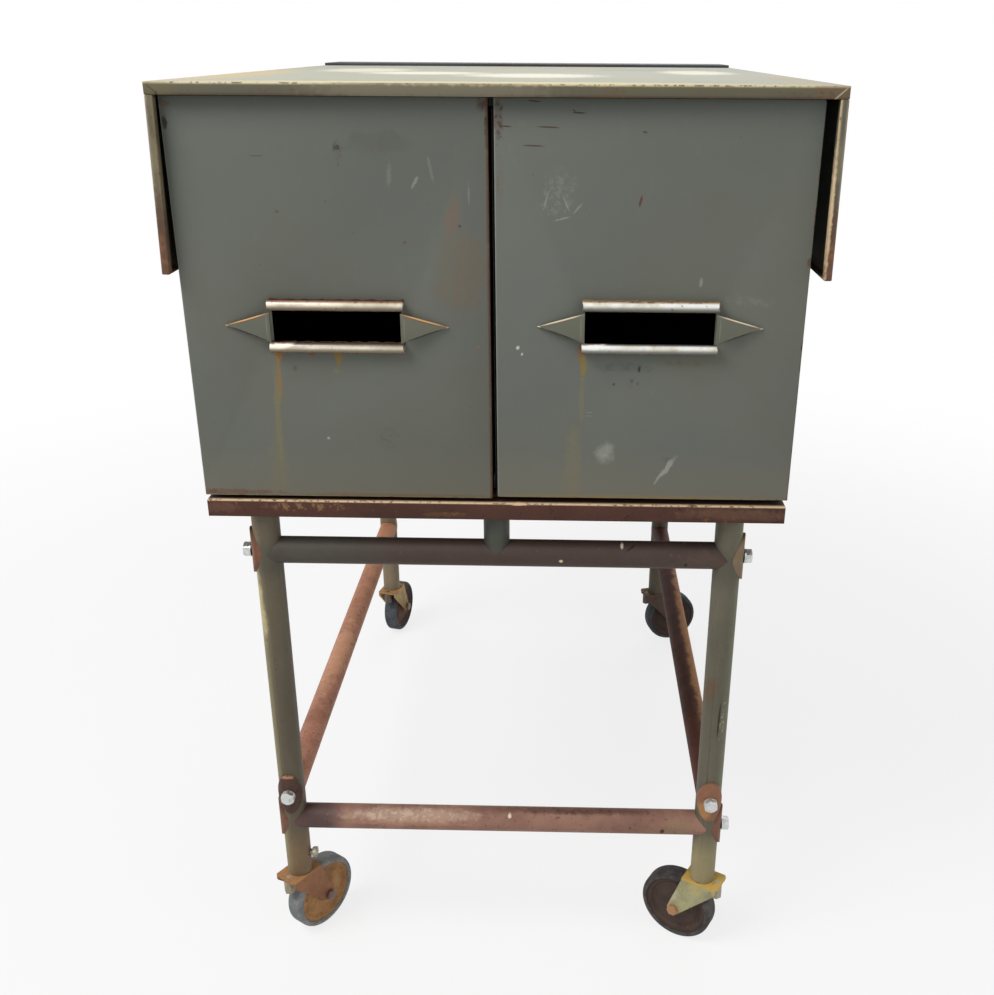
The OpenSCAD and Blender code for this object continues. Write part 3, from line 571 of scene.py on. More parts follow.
class CABINET_OT_cover(bpy.types.Operator):
    """Folded cover with its side skirts and the dark strip along the back"""
    bl_idname = "cabinet.cover"
    bl_label = "Cover"

    def execute(self, context):
        paints, sizes = context.scene.cabinet.colours, context.scene.cabinet.sizes
        low, high = walls("top_cover")
        wear = sizes.wear / MM
        rim, top, ochre = low.y, high.z, "#C2A680"
        # Olive enamel, chalked pale on top, with undercoat and rust along the rim's upper edge
        enamel = worn("Olive enamel on folded steel, chalked on top", paints.cover, "#5B594A", level=0.06,
            edges=[(0.5, (2, low.z, wear * 0.7), (1, rim, 4.0)), (0.45, (2, top, wear), (1, rim, 4.0))],
            lines=[("#EBD8A8", 0.95, 0.45, 0.7, (2, top, 2.8), (1, rim, 3.4)),
            ("#4C3828", 0.85, 0.5, 0.4, (2, low.z, 3.0), (1, rim, 2.6)),
            ("#CDB594", 0.9, 0.8, 0.6, (2, top, 3.0), (0, low.x, 2.6)),
            ("#CDB594", 0.9, 0.8, 0.6, (2, top, 3.0), (0, high.x, 2.6))],
            top=(top, paints.cover_top, 1.0, 0.85), pits=0.45, sheen=0.4, seed=1.0, darkening=0.1, fine=0.05,
            marks=[(-60, rim, top - 6, 150, 9, 16, "#77705D", 0.8, 0.5),
            (-335, rim, top - 6, 34, 12, 16, "#6E6444", 0.4, 1.3),
            (335, rim, top - 4, 40, 12, 12, "#7A5A40", 0.4, 1.3),
            (-210, 40, top, 78, 150, 5, "#E8E2CE", 0.9, 0.5),
            (-112, -105, top, 100, 95, 5, "#EFE9D6", 1.0, 0.5),
            (28, -195, top, 108, 125, 5, "#EFE9D6", 1.0, 0.5), (-20, 240, top, 80, 60, 5, ochre, 0.6, 0.8, 0.4),
            (110, 270, top, 60, 60, 5, ochre, 0.7, 0.8, 0.4), (180, 120, top, 90, 60, 5, "#A5A696", 0.7, 0.5),
            (245, 0, top, 62, 150, 5, "#F1EDD8", 1.0, 0.5),
            (60, 345, top, 190, 40, 5, "#D8B083", 0.6, 0.8, 0.4),
            (-325, -200, top, 60, 300, 5, "#D6B67E", 0.6, 0.9, 0.2),
            (320, -300, top, 30, 200, 5, ochre, 0.5, 0.9, 0.3), (0, -466, top, 360, 36, 5, "#DDD0A4", 0.8, 0.6),
            (low.x + 9, rim, top - 7.5, 12, 10, 0.9, "#4A3A2A", 0.8, 0.4, 0.0, 0.72),
            (high.x - 9, rim, top - 7.5, 12, 10, 0.9, "#C9BA92", 0.8, 0.4, 0.0, -0.72),
            (low.x + 12, rim, top - 12, 1.2, 10, 5, "#3A2A20", 0.85, 0.4),
            (-30, rim, top - 12, 90, 10, 3, "#6B5138", 0.6, 1.2, 1.0),
            (110, rim, top - 10, 26, 10, 7, "#6E4C34", 0.7, 1.2, 0.9),
            (300, rim, top - 8, 36, 10, 5, "#5E4632", 0.6, 1.2, 0.9),
            (-200, rim, top - 8, 40, 10, 4, "#5F4A36", 0.5, 1.2, 0.9)])
        dress("top_cover", enamel, sizes.fold_radius)
        # Both skirts lean a little, the left one more
        for side, sign, tilt in (("left", -1, 1.6), ("right", 1, 0.5)):
            lean = sign * math.radians(tilt)
            spots = [v.co / MM for v in frame["nodes"][side + "_skirt"].data.vertices]
            across = [p.x * math.cos(lean) + p.z * math.sin(lean) for p in spots]
            foot = min(p.z * math.cos(lean) - p.x * math.sin(lean) for p in spots)
            lip = max(across) if sign < 0 else min(across)
            front = min(p.y for p in spots)
            # The sheet's inner face, painted paler than its weathered outside as painted light, so that it reads
            # less dark in the cover's shade
            sheet = (min(across) if sign < 0 else max(across)) - sign * 1.2
            if sign < 0:
                coat, deep, lip_tone, share, lip_highlight = "#6E6650", "#5C5644", "#8C8062", 0.5, []
            else:
                coat, deep, lip_tone, share = "#605E50", "#535146", "#CDB48C", 0.9
                # On the right skirt the lip face is pale, rubbed and painted as a highlight, down to its foot
                lip_highlight = [(lip + 0.8, front + 4, foot + 62, 2.6, 12, 84, "#DCC09A", 0.9, 0.8, 0.2)]
            # Olive enamel gone dull and warm, browned by rust at its foot, and pale along its lip: rubbed, and on
            # the right skirt also a painted highlight
            finish = worn("Olive enamel on the %s skirt" % side, coat, deep, level=0.14, lean=lean,
                edges=[(0.6, (2, foot, 26.0)), (0.3, (0, lip, 4.0), (1, front, 4.0))],
                lines=[(lip_tone, share, 0.45, 0.4, (0, lip, 3.0), (1, front, 4.0)),
                ("#A8977A", 0.35, 0.9, 0.2, (1, front, 3.0), (0, lip + sign * 7.6, 3.0)),
                ("#9C8C7E", 0.9, 0.0, 0.5, (0, sheet, 0.8))], fades=[(2, foot + 80, foot + 8, "#5C4132", 0.5)],
                marks=[(lip + sign * 4, front, foot + 118, 7, 9, 26, "#8F8568", 0.4, 0.9),
                (lip + sign * 4, front, foot + 22, 10, 12, 78, "#5C4132", 0.8, 0.8),
                (lip + sign * 4, front, foot + 16, 9, 9, 34, "#8A6044", 0.7, 1.0, 0.7)] + lip_highlight, pits=0.6,
                seed=4.0 + sign, drift=60.0, darkening=0.2, fine=0.08)
            dress(side + "_skirt", finish, sizes.fold_radius)
        low, high = walls("back_strip")
        # Dark enamel that has kept its even colour and a soft gleam
        strip = worn("Dark grey enamel strip", "#41464A", "#33383B", level=0.08, pits=0.3, seed=7.0,
            edges=[(0.3, (2, high.z, 2.0), (1, low.y, 4.0))])
        dress("back_strip", strip, sizes.plate_radius)
        return {"FINISHED"}


class CABINET_OT_carcass(bpy.types.Operator):
    """Panels, divider, floor, header, stop bar and runners inside and behind the cover"""
    bl_idname = "cabinet.carcass"
    bl_label = "Carcass"

    def execute(self, context):
        paints = context.scene.cabinet.colours
        low, high = walls("back_panel")
        # Sprayed enamel: smooth and even under fine dust, with rust where its edges take knocks
        outer = worn("Grey-green enamel on the carcass", paints.drawer, paints.drawer_deep, level=0.03,
            pits=0.35,
            edges=[(0.7, (2, low.z, 16.0)), (0.5, (0, low.x, 5.0)), (0.5, (0, high.x, 5.0)),
            (0.4, (1, high.y, 5.0))], seed=11.0, darkening=0.3, fine=0.05, dust="#8C8E82")
        # The same coat where it is never wiped: darker, dusty, and rust comes through
        inner = worn("Dusty enamel inside the carcass", "#4C4F49", "#3C3F3B", level=0.22, pits=0.5, seed=13.0,
            darkening=0.6)
        # Uncoated steel that the drawers rub: it gleams a little between patches of rust
        steel = worn("Bare runner steel, rubbed bright on its tread", "#7D756A", "#62594E", level=0.3, pits=0.6,
            seed=15.0, sheen=0.6)
        for node in ("left_side_panel", "right_side_panel", "back_panel"):
            dress(node, outer, SHEET_EDGE)
        for node in ("centre_divider", "floor_panel", "front_header", "stop_bar"):
            dress(node, inner, SHEET_EDGE)
        dress("drawer_runners", steel, BAR_EDGE)
        return {"FINISHED"}


# Rust, chalk and grime on the drawer fronts
ORANGE, BROWN, OXIDE, PALE, OCHRE, SHADE = "#98692E", "#6A4632", "#4A2A20", "#A9ABA2", "#82764C", "#4E534C"
# Each mark: centre x and z, reach x and z, colour, strength, raggedness, speckle, turn
DRAWER_MARKS = {
    "left": [(-46, 964, 10, 24, "#865E48", 0.5, 1.3, 0.6, 0.2), (-38, 954, 2, 2, "#4E3426", 0.8, 0.8, 0.0, 0.2),
    (-38, 905, 34, 54, "#6F6552", 0.5, 0.9, 0.2, 0.1), (-30, 900, 26, 50, "#7C5C46", 0.3, 0.9, 1.0, 0.1),
    (-158, 1026, 6, 15, None, 0.75, 1.0, 0.9), (-118, 1036, 40, 14, "#55544B", 0.4, 0.8, 0.3),
    (-82, 997, 2.2, 9, PALE, 0.4, 0.9, 0.0, 0.5), (-108, 1003, 3, 16, PALE, 0.15, 0.9, 0.0, 0.1),
    (-66, 1010, 2, 16, PALE, 0.16, 0.9, 0.0, -0.2), (-28, 985, 1.4, 14, PALE, 0.2, 0.9),
    (-224, 967, 2.5, 2, BROWN, 0.8, 0.5), (-95, 937, 2.2, 2, BROWN, 0.7, 0.5),
    (-328, 1052, 3.6, 7.5, "#352830", 0.95, 0.7), (-328, 1070, 9, 4, BROWN, 0.5, 0.9),
    (-8, 1052, 5, 26, "#3E271C", 0.95, 0.9, 0.4), (-12, 1068, 9, 9, "#46301F", 0.85, 1.2, 0.5),
    (-7, 1000, 2.6, 90, BROWN, 0.85, 0.9, 0.6), (-7, 860, 1.8, 120, BROWN, 0.7, 0.9, 0.7),
    (-235, 818, 5.5, 14, ORANGE, 0.85, 0.8), (-237, 790, 3.2, 30, "#8F6C38", 0.75, 0.9, 0.2, 0.01),
    (-242, 745, 4, 80, OCHRE, 0.6, 0.6, 0.3, 0.02), (-246, 690, 13, 55, OCHRE, 0.28, 0.9, 0.4, 0.02),
    (-199, 822, 6, 6, "#84501F", 0.85, 0.7), (-171, 817, 5, 16, "#8E7030", 0.8, 0.8),
    (-174, 800, 5, 4, OCHRE, 0.4, 0.9), (-188, 724, 2, 2, PALE, 0.7, 0.6), (-219, 803, 3, 4, SHADE, 0.6, 0.8),
    (-120, 725, 12, 16, SHADE, 0.4, 1.0, 0.9, 0.3), (-20, 828, 4, 1.6, ORANGE, 0.6, 0.6, 0.0, 0.3),
    (-300, 659, 70, 4, BROWN, 0.85, 1.0, 0.4), (-110, 657, 150, 2.6, "#7B5B38", 0.6, 1.0, 0.3),
    (-240, 1021, 9, 0.8, "#3F463F", 0.7, 0.6)],
    "right": [(82, 1063.5, 9, 1.0, None, 0.95, 0.25, 0.0, 0.03),
    (77, 1065.5, 3, 0.9, None, 0.8, 0.25, 0.0, 0.5), (52, 1050, 14, 1.0, OXIDE, 0.95, 0.25, 0.0, 0.03),
    (37, 1032.5, 14.5, 0.9, OXIDE, 0.95, 0.25, 0.0, 0.03), (10, 1050.5, 7, 1.0, None, 0.95, 0.25, 0.0, 0.05),
    (38, 1074, 9, 0.9, None, 0.8, 0.3, 0.0, 0.1), (145.5, 980, 1.7, 7.5, "#5B362A", 0.95, 0.35, 0.0, 0.2),
    (147, 1046, 3.2, 1.2, None, 0.85, 0.4, 0.0, 0.3), (66, 962, 11, 1.1, PALE, 0.4, 0.7, 0.0, -0.25),
    (50, 980, 1.2, 12, PALE, 0.28, 0.7, 0.0, 0.3), (70, 978, 1.2, 13, PALE, 0.28, 0.7, 0.0, -0.4),
    (82, 972, 1.3, 9, PALE, 0.3, 0.7, 0.0, 0.7), (62, 985, 22, 26, PALE, 0.14, 1.1, 0.9, 0.6),
    (116, 709, 13, 16, PALE, 0.5, 0.9, 0.2, 0.3), (186, 694, 4, 18, PALE, 0.6, 0.9, 0.0, 0.6),
    (176, 681, 2, 9, PALE, 0.5, 0.8, 0.0, 0.5), (21, 828, 2.4, 3, "#C3C5BC", 0.9, 0.4, 0.0, 0.3),
    (25.5, 821, 1.4, 2, "#C3C5BC", 0.9, 0.4, 0.0, 0.3), (211, 899, 2.5, 7, PALE, 0.4, 0.7),
    (262, 880, 30, 7, PALE, 0.1, 1.0, 0.9, 0.1), (88, 824, 3, 14, "#8A5E28", 0.9, 0.5),
    (91, 809, 4.5, 17, "#85702F", 0.75, 0.8), (90, 770, 4, 34, OCHRE, 0.45, 0.7, 0.3),
    (80, 700, 14, 50, OCHRE, 0.35, 0.9, 0.4, 0.05), (98, 757, 5, 0.8, PALE, 0.25, 0.6),
    (98, 753, 5, 0.8, PALE, 0.2, 0.6), (134, 808, 34, 7, SHADE, 0.6, 1.0, 0.6),
    (151, 806, 1.8, 4.5, "#2A2A26", 0.9, 0.7, 0.0, 0.2), (146, 788, 8, 9, "#2F302C", 0.6, 0.8, 1.0, -0.6),
    (124, 789, 1.8, 1.8, "#2F302C", 0.7, 0.6), (200, 812, 26, 5, "#5F5233", 0.5, 1.0, 0.6),
    (320, 921, 2.2, 6, "#55382A", 0.8, 1.0, 0.6), (3, 1055, 6, 24, OXIDE, 0.9, 0.9, 0.7),
    (4, 1000, 4, 30, BROWN, 0.5, 1.0, 0.8), (140, 658.5, 190, 2.6, "#8C7444", 0.6, 1.0, 0.2),
    (188, 703, 9, 5, None, 0.35, 1.0, 1.0, 0.05)]}


class CABINET_OT_drawers(bpy.types.Operator):
    """Drawer fronts with their stains and scratches, and the boxes behind them"""
    bl_idname = "cabinet.drawers"
    bl_label = "Drawers"

    def execute(self, context):
        paints, sizes = context.scene.cabinet.colours, context.scene.cabinet.sizes
        # Enamel that has seen no sun: paler and cooler than the fronts, and dusty
        inside = worn("Dusty grey enamel inside the drawers", "#8F938F", "#7C807C", level=0.06, pits=0.4,
            seed=23.0, darkening=0.4, dust="#A5A7A0")
        for side, seed in (("left", 21.0), ("right", 22.0)):
            low, high = walls(side + "_drawer_front")
            stains = [(x, low.y, z, rx, 40.0, rz, *rest) for x, z, rx, rz, *rest in DRAWER_MARKS[side]]
            front = (1, low.y, 2.4)
            inner = [("#55321F", 0.95, 0.6, 0.7, (0, high.x, 3.6), front)] if side == "left" else []
            # Sprayed enamel: smooth and half matt, warmer towards its foot, with stains and scratches
            enamel = worn("Grey-green enamel, %s drawer" % side, paints.drawer, paints.drawer_deep, level=0.0,
                edges=[(0.8, (0, low.x, 3.0), front), (0.85, (0, high.x, 4.0), front),
                (0.85, (2, low.z, 4.0), front), (0.35, (2, high.z, 3.0), front)],
                # The first two fades give a deeper, greener tone towards the top, which is painted shadow of the
                # cover's rim
                fades=[(2, 930.0, 1030.0, "#62665E", 0.7), (2, 1020.0, 1036.0, "#646961", 0.65),
                (2, 715.0, 658.0, "#747163", 0.85)],
                lines=[("#90958C", 0.7, 0.5, 0.2, (0, low.x, 1.8), front),
                ("#8C8262", 0.7, 0.8, 0.5, (2, low.z, 2.2), front)] + inner, marks=stains, pits=0.1, seed=seed,
                drift=240.0, sheen=0.42, darkening=0.05, fine=0.02, dust="#777A71")
            dress(side + "_drawer_front", enamel, sizes.fold_radius)
            dress(side + "_drawer_box", inside, SHEET_EDGE)
        return {"FINISHED"}


class CABINET_OT_handles(bpy.types.Operator):
    """Handle rods, pointed end plates and the weld beads beside them"""
    bl_idname = "cabinet.handles"
    bl_label = "Handles"

    def execute(self, context):
        sizes = context.scene.cabinet.sizes
        beads = bead_tree()
        # For each side: crown, painted shade on the rods' underside, painted shadow of the upper rod in the lower
        # rod's crook and its reach, crust above the upper rod and its reach, and the end plates' worn edge, also
        # painted as a highlight
        looks = {"left": ("#FFF4DC", "#6F5E47", "#3E2C23", 0.85, "#7C4A30", 0.5, "#DBAA72"),
            "right": ("#F6F6F0", "#616053", "#23262A", 0.35, "#A58A66", 0.3, "#DAD3B4")}
        # Weld scale: crusty and matt, dark on the left and sandy on the right
        scales = {
            "left": worn("Weld scale, left", "#5A3B2A", "#35241D", level=0.4, pits=0.8, seed=37.0, sheen=0.2),
            "right": worn("Weld scale, right", "#9A8058", "#6E5A40", level=0.15, pits=0.6, seed=38.0,
            sheen=0.2)}
        for side, seed in (("left", 31.0), ("right", 32.0)):
            coat, underside_shade, darkening, crook, crust, seam, lit_worn_edge = looks[side]
            low, high = walls(side + "_handle_rods")
            face = walls(side + "_drawer_front")[0].y
            radius = (high.y - low.y) / 2
            upper, lower, mid = high.z - radius, low.z + radius, (low.z + high.z) / 2
            # Rubbed cream on the crown, brightened nearly to white as painted highlight, brown painted shade
            # underneath, old rust along the weld, and painted shadow of the upper rod in the lower rod's crook.
            # The brown is laid on three times, which brings the painted shade further round the rods.
            brown = [(underside_shade, 0.95, 0.0, 0.3, (2, rod - radius, radius * 1.45))
                for rod in 3 * [upper] + 3 * [lower]]
            cream = worn("Cream paint rubbed through on the %s handle rods" % side, coat, "#D2C9B1", level=0.02,
                pits=0.5, seed=seed, sheen=0.75, drift=30.0, darkening=0.1, fine=0.05, shine=0.7,
                edges=[(0.8, (0, low.x, 3.0)), (0.9, (0, high.x, 4.0))],
                lines=brown + [(darkening, 0.95, 0.0, 0.4, (2, lower + radius, radius * crook)),
                (crust, 0.95, 0.3, 0.6, (2, upper + radius, radius * seam))],
                # At the lower rod's left end the cream is painted back over the crook's painted shadow, as painted
                # light; beside it a rust crumb
                marks=[(low.x + 10, low.y, lower + radius * 0.8, 19, 30, radius, coat, 1.0, 0.06),
                (low.x + 14, low.y, lower + radius * 1.05, 13, 30, 1.2, "#8A4C34", 0.8, 0.9)])
            dress(side + "_handle_rods", cream, ROD_EDGE, ROUND, 3)
            tips = walls(side + "_handle_ears")
            edge_wear_and_shading = []
            for tip, base in ((tips[0].x, low.x + 3), (tips[1].x, high.x - 3)):
                rise = (tips[1].z - tips[0].z) / 2
                run = abs(base - tip)
                slope = math.atan2(rise, run) * (1 if base > tip else -1)
                centre = ((tip + base) / 2, tips[0].y, mid + rise / 2 - 0.4)
                edge_wear_and_shading.append((*centre, run / 2 + 4, 30, 2.4, "#6B4029", 0.9, 0.35, 0.0, -slope))
                edge_wear_and_shading.append((*centre, run / 2 + 4, 30, 1.3, lit_worn_edge, 0.95, 0.12, 0.0, -slope))
                # A painted shadow along the plate's lower edge
                shadow = ((tip + base) / 2, tips[0].y, mid - rise / 2 + 0.3)
                edge_wear_and_shading.append((*shadow, run / 2 + 3, 30, 1.5, "#292219", 0.95, 0.35, 0.0, slope))
                edge_wear_and_shading.append(
                    (base + (4 if base < tip else -4), tips[0].y, mid, 0.8, 30, rise, "#8D8875", 0.5, 0.3))
                edge_wear_and_shading.append((tip, tips[0].y, mid, 5, 30, 2.2, lit_worn_edge, 0.8, 0.3))
            # Enamel on pressed points: pale along the upper edges, where the paint is worn and a highlight is
            # painted, with painted shadow along the lower edges
            plate = worn("Grey-green enamel on the %s end plates" % side, "#6A6A5C", "#626458", level=0.0,
                pits=0.2, seed=seed + 2.0, marks=edge_wear_and_shading, fine=0.03, darkening=0.1)
            dress(side + "_handle_ears", plate, BAR_EDGE)
            # Rust creeps out of the weld above each rod
            rows, ends, steps = [], [], 30
            for z in (high.z - 0.6, lower + radius - 0.6) if side == "left" else (high.z - 0.6,):
                start = len(rows)
                for i in range(steps + 1):
                    along = low.x + 1.0 + (high.x - low.x - 2.0) * i / steps
                    rows.append((along * MM, (face - 0.7) * MM, (z + 0.5 * math.sin(i * 1.7)) * MM))
                ends += [(start + i, start + i + 1) for i in range(steps)]
            weld = grown(side + "_handle_weld", beads, rows, lines=ends, Width=sizes.bead, Finish=scales[side])
            settle(weld, scales[side], side + "_drawer")
        return {"FINISHED"}


class CABINET_OT_base(bpy.types.Operator):
    """Angle rails, bearers, leg plates and posts under the cabinet"""
    bl_idname = "cabinet.base"
    bl_label = "Base"

    def execute(self, context):
        sizes = context.scene.cabinet.sizes
        low, high = walls("front_rail")
        edge = [(2, high.z, 1.9), (1, low.y, 8.0)]
        # Rolled angle: brown scale over old red oxide. Its top face is painted dark as the drawers' shadow, and
        # its top front edge is pale, partly rubbed and partly painted highlight
        rail = worn("Rusted angle steel, front", "#4E3025", "#42271F", level=0.2, pits=0.8,
            rust=("#2F1C16", "#533124", "#966442"), edges=[(0.5, (2, low.z, 3.0))],
            top=(high.z, "#3A271F", 0.9, 0.0), lines=[("#E8CBA4", 0.9, 0.5, 0.6, *edge)], seed=41.0, sheen=0.3,
            drift=90.0, darkening=0.3,
            marks=[(low.x + 10, low.y, 641, 34, 10, 9, "#71503F", 0.5, 0.9, 0.3),
            (high.x - 50, low.y, 640, 90, 10, 9, "#6B4D3C", 0.7, 0.9, 0.3),
            (-218, low.y, 643, 58, 10, 6, "#A98058", 0.45, 1.3, 1.0),
            (-60, low.y, 636, 26, 10, 4, "#8C6A3E", 0.4, 0.9, 0.6),
            (22, low.y, 649, 11, 10, 1.6, "#E0BE92", 0.95, 0.6)])
        dress("front_rail", rail, sizes.plate_radius)
        # Rolled angle left to rust: matt red-brown scale all over
        plain = worn("Rusted angle steel", "#5A3B31", "#47302A", level=0.4, pits=0.8, seed=43.0, sheen=0.3,
            darkening=0.4)
        for node in ("rear_rail", "left_rail", "right_rail", "bearers", "leg_pads"):
            dress(node, plain, sizes.plate_radius)
        # The darker coat of the trolley, dull and dusty
        post = worn("Grey-olive enamel on the posts", "#4C4E46", "#42443D", level=0.08, pits=0.4, seed=45.0,
            darkening=0.4)
        for node in ("front_post", "rear_post"):
            dress(node, post, BAR_EDGE)
        return {"FINISHED"}


class CABINET_OT_trolley(bpy.types.Operator):
    """Legs, cross tubes, stretchers, their plugs and their curved washers"""
    bl_idname = "cabinet.trolley"
    bl_label = "Trolley"

    def execute(self, context):
        coats = {
            "front_left": ("#655C4B", "#5A5243", "#7B6549"), "front_right": ("#656050", "#5C594A", "#9E916B"),
            "rear_left": ("#897A61", "#776A54", "#897A61"), "rear_right": ("#4B473A", "#423F34", "#5A5443")}
        # Painted highlight: one side of a leg is painted paler, as if lit
        lit_side = ([(0, -276.0, -290.0, "#9A8E68", 0.85)], [(0, 268.0, 280.0, "#7E8468", 0.5)], [], [])
        for index, corner in enumerate(CORNERS):
            low, high = walls(corner + "_leg")
            mid = (low + high) / 2
            coat, deep, foot = coats[corner]
            marks = [(mid.x, mid.y, 570, 40, 40, 34, "#4B493F", 0.6, 0.5)]
            if index == 0:
                # A pale yellow painted highlight high on the leg's lit left side
                marks.append((-286, mid.y, 512, 12, 20, 74, "#C4B68A", 0.95, 0.6, 0.0, -0.05))
            if index == 1:
                marks.append((266.5, low.y, 362, 1.7, 20, 34, "#2A2018", 0.95, 0.25, 0.0, 0.03))
                marks.append((271, low.y, 356, 3, 20, 34, "#C9BE96", 0.8, 1.2, 1.0, 0.03))
                marks.append((252, low.y, 402, 13, 20, 22, "#6A4A36", 0.7, 0.9, 0.3, 0.2))
                # A pale line high on the leg's right side, a painted highlight
                marks.append((mid.x + 15, mid.y, 620, 4, 20, 60, "#8E8468", 0.5, 0.8))
            # Enamel on drawn tube: a soft sheen broken by rust pits, darker by the upper joints
            leg = worn("Olive enamel on the %s leg" % corner.replace("_", " "), coat, deep, level=0.09,
                pits=0.55, seed=51.0 + index, stretch=(1.0, 1.0, 0.3), drift=70.0, darkening=0.25, marks=marks,
                fine=0.1, fades=[(2, 190.0, 150.0, foot, 0.9)] + lit_side[index],
                edges=[(0.5, (2, low.z, 8.0)), (0.4, (2, high.z, 16.0))])
            dress(corner + "_leg", leg, 0.0, ROUND)
        # Old oxide primer, nearly black, so each chip and scratch shows pale
        upper = worn("Dark oxide on the upper tubes", "#473832", "#3D302B", level=0.1, pits=0.6, seed=61.0,
            drift=120.0, darkening=0.2, fades=[(0, -110.0, -190.0, "#4A4840", 0.8)],
            marks=[(235, -462, 572, 50, 60, 20, "#5E4A40", 0.6, 0.6, 0.3),
            (70, -478, 575, 3, 20, 2.5, "#E0D2A6", 0.95, 0.4), (214, -478, 572, 3, 20, 4, "#24130F", 0.95, 0.4),
            (150, -474, 590, 9, 20, 1.4, "#1C1310", 0.9, 0.4, 0.0, -0.5),
            (140, -474, 592, 2.5, 20, 3, "#D9D0BC", 0.9, 0.5)])
        # Oxide primer worn thin: pink and chalky on top, brown where rust comes through
        lower = worn("Pink-brown oxide on the lower tubes", "#9A7463", "#835F51", level=0.16, pits=0.75,
            seed=62.0, drift=60.0, darkening=0.2, rust=("#4B2F28", "#7A5040", "#B98A62"),
            fades=[(0, -205.0, -228.0, "#54403E", 0.95)],
            marks=[(-120, -474, 206, 105, 16, 11, "#D3B79F", 0.75, 0.6, 0.5),
            (-120, -478, 197, 100, 20, 5, "#B88872", 0.6, 0.7, 0.3),
            (100, -462, 212, 125, 16, 5, "#4E352C", 0.95, 0.5, 0.3),
            (8, -472, 207, 3, 20, 3, "#E8D8C0", 0.95, 0.5),
            (225, -478, 196, 24, 30, 14, "#8E7A5A", 0.6, 0.6, 0.3),
            (205, -478, 191, 3.5, 20, 5, "#2B1712", 1.0, 0.3, 0.0, 0.1)])
        low, high = walls("left_stretcher")
        # Rust on uncoated tube: orange, powdery and matt, painted as if lit: a lit copy of the right stretcher's
        # rust, lighter towards the rear, with a painted highlight on top
        bright = worn("Orange-brown rust on the left stretcher, painted as if lit", "#B8836C", "#9C6A55", level=0.3,
            rust=("#5E3A2C", "#8A5A43", "#C98E62"), pits=0.75, seed=63.0, drift=40.0, fine=0.18, shine=0.12,
            fades=[(1, -250.0, 230.0, "#BE8662", 0.7)],
            marks=[(low.x + 18, -146, high.z, 22, 120, 20, "#DCA684", 0.7, 1.0, 0.2)])
        low, high = walls("right_stretcher")
        # Rust on uncoated tube, painted darker as shade: a shaded copy of the left stretcher's rust, matt, with a
        # painted highlight along its upper outer side
        shaded_rust = worn("Rust on the right stretcher, painted dark as shade", "#522F21", "#41251B", level=0.25,
            rust=("#2D1811", "#5C3220", "#8E5A34"), pits=0.8, seed=64.0, drift=50.0, fine=0.15, shine=0.1,
            marks=[(high.x - 6, -100, high.z - 5, 12, 420, 12, "#B07C4E", 0.85, 0.8, 0.3)])
        finishes = {"front_upper_tube": upper, "rear_upper_tube": upper, "front_lower_tube": lower,
            "rear_lower_tube": lower, "left_stretcher": bright, "right_stretcher": shaded_rust}
        for node, finish in finishes.items():
            dress(node, finish, 0.0, ROUND)
        spots = {corner: middle(corner + "_leg") / MM for corner in CORNERS}
        left, right = spots["front_left"], spots["front_right"]
        low_z, high_z = middle("front_lower_tube").z / MM, middle("front_upper_tube").z / MM
        side_z = middle("left_stretcher").z / MM
        # Pressed steel that has rusted: matt brown scale, a little different at each joint
        saddle = worn("Rusted curved washers", "#7E5643", "#6A4737", level=0.18, pits=0.8, seed=65.0,
            rust=("#4B3026", "#7C4F3A", "#B5804F"), drift=22.0, darkening=0.2,
            marks=[(left.x, left.y - 18, side_z, 40, 26, 44, "#35251F", 0.9, 0.4, 0.2),
            (left.x, left.y - 18, side_z + 27, 26, 26, 2.5, "#B98A66", 0.8, 0.4),
            (right.x, right.y - 18, side_z, 40, 26, 44, "#96684D", 0.85, 0.4, 0.2),
            (right.x - 8, right.y - 18, side_z - 14, 12, 26, 14, "#B0804E", 0.8, 0.7),
            (left.x - 18, left.y, high_z, 12, 20, 34, "#9A7055", 0.8, 0.5, 0.2),
            (right.x + 18, right.y, high_z, 30, 34, 44, "#80735A", 0.95, 0.4, 0.2),
            (right.x + 18, right.y, low_z, 12, 20, 34, "#7C5B48", 0.6, 0.4, 0.2)])
        dress("saddle_washers", saddle, NUT_EDGE, ROUND)
        # Turned steel: still bright between patches of brown tarnish
        plugs = plated("Turned steel plugs", "#8E8A80", "#5E5248", 0.45, 66.0)
        for node in ("tube_plugs", "caster_stems"):
            dress(node, plugs, 0.0, ROUND)
        return {"FINISHED"}


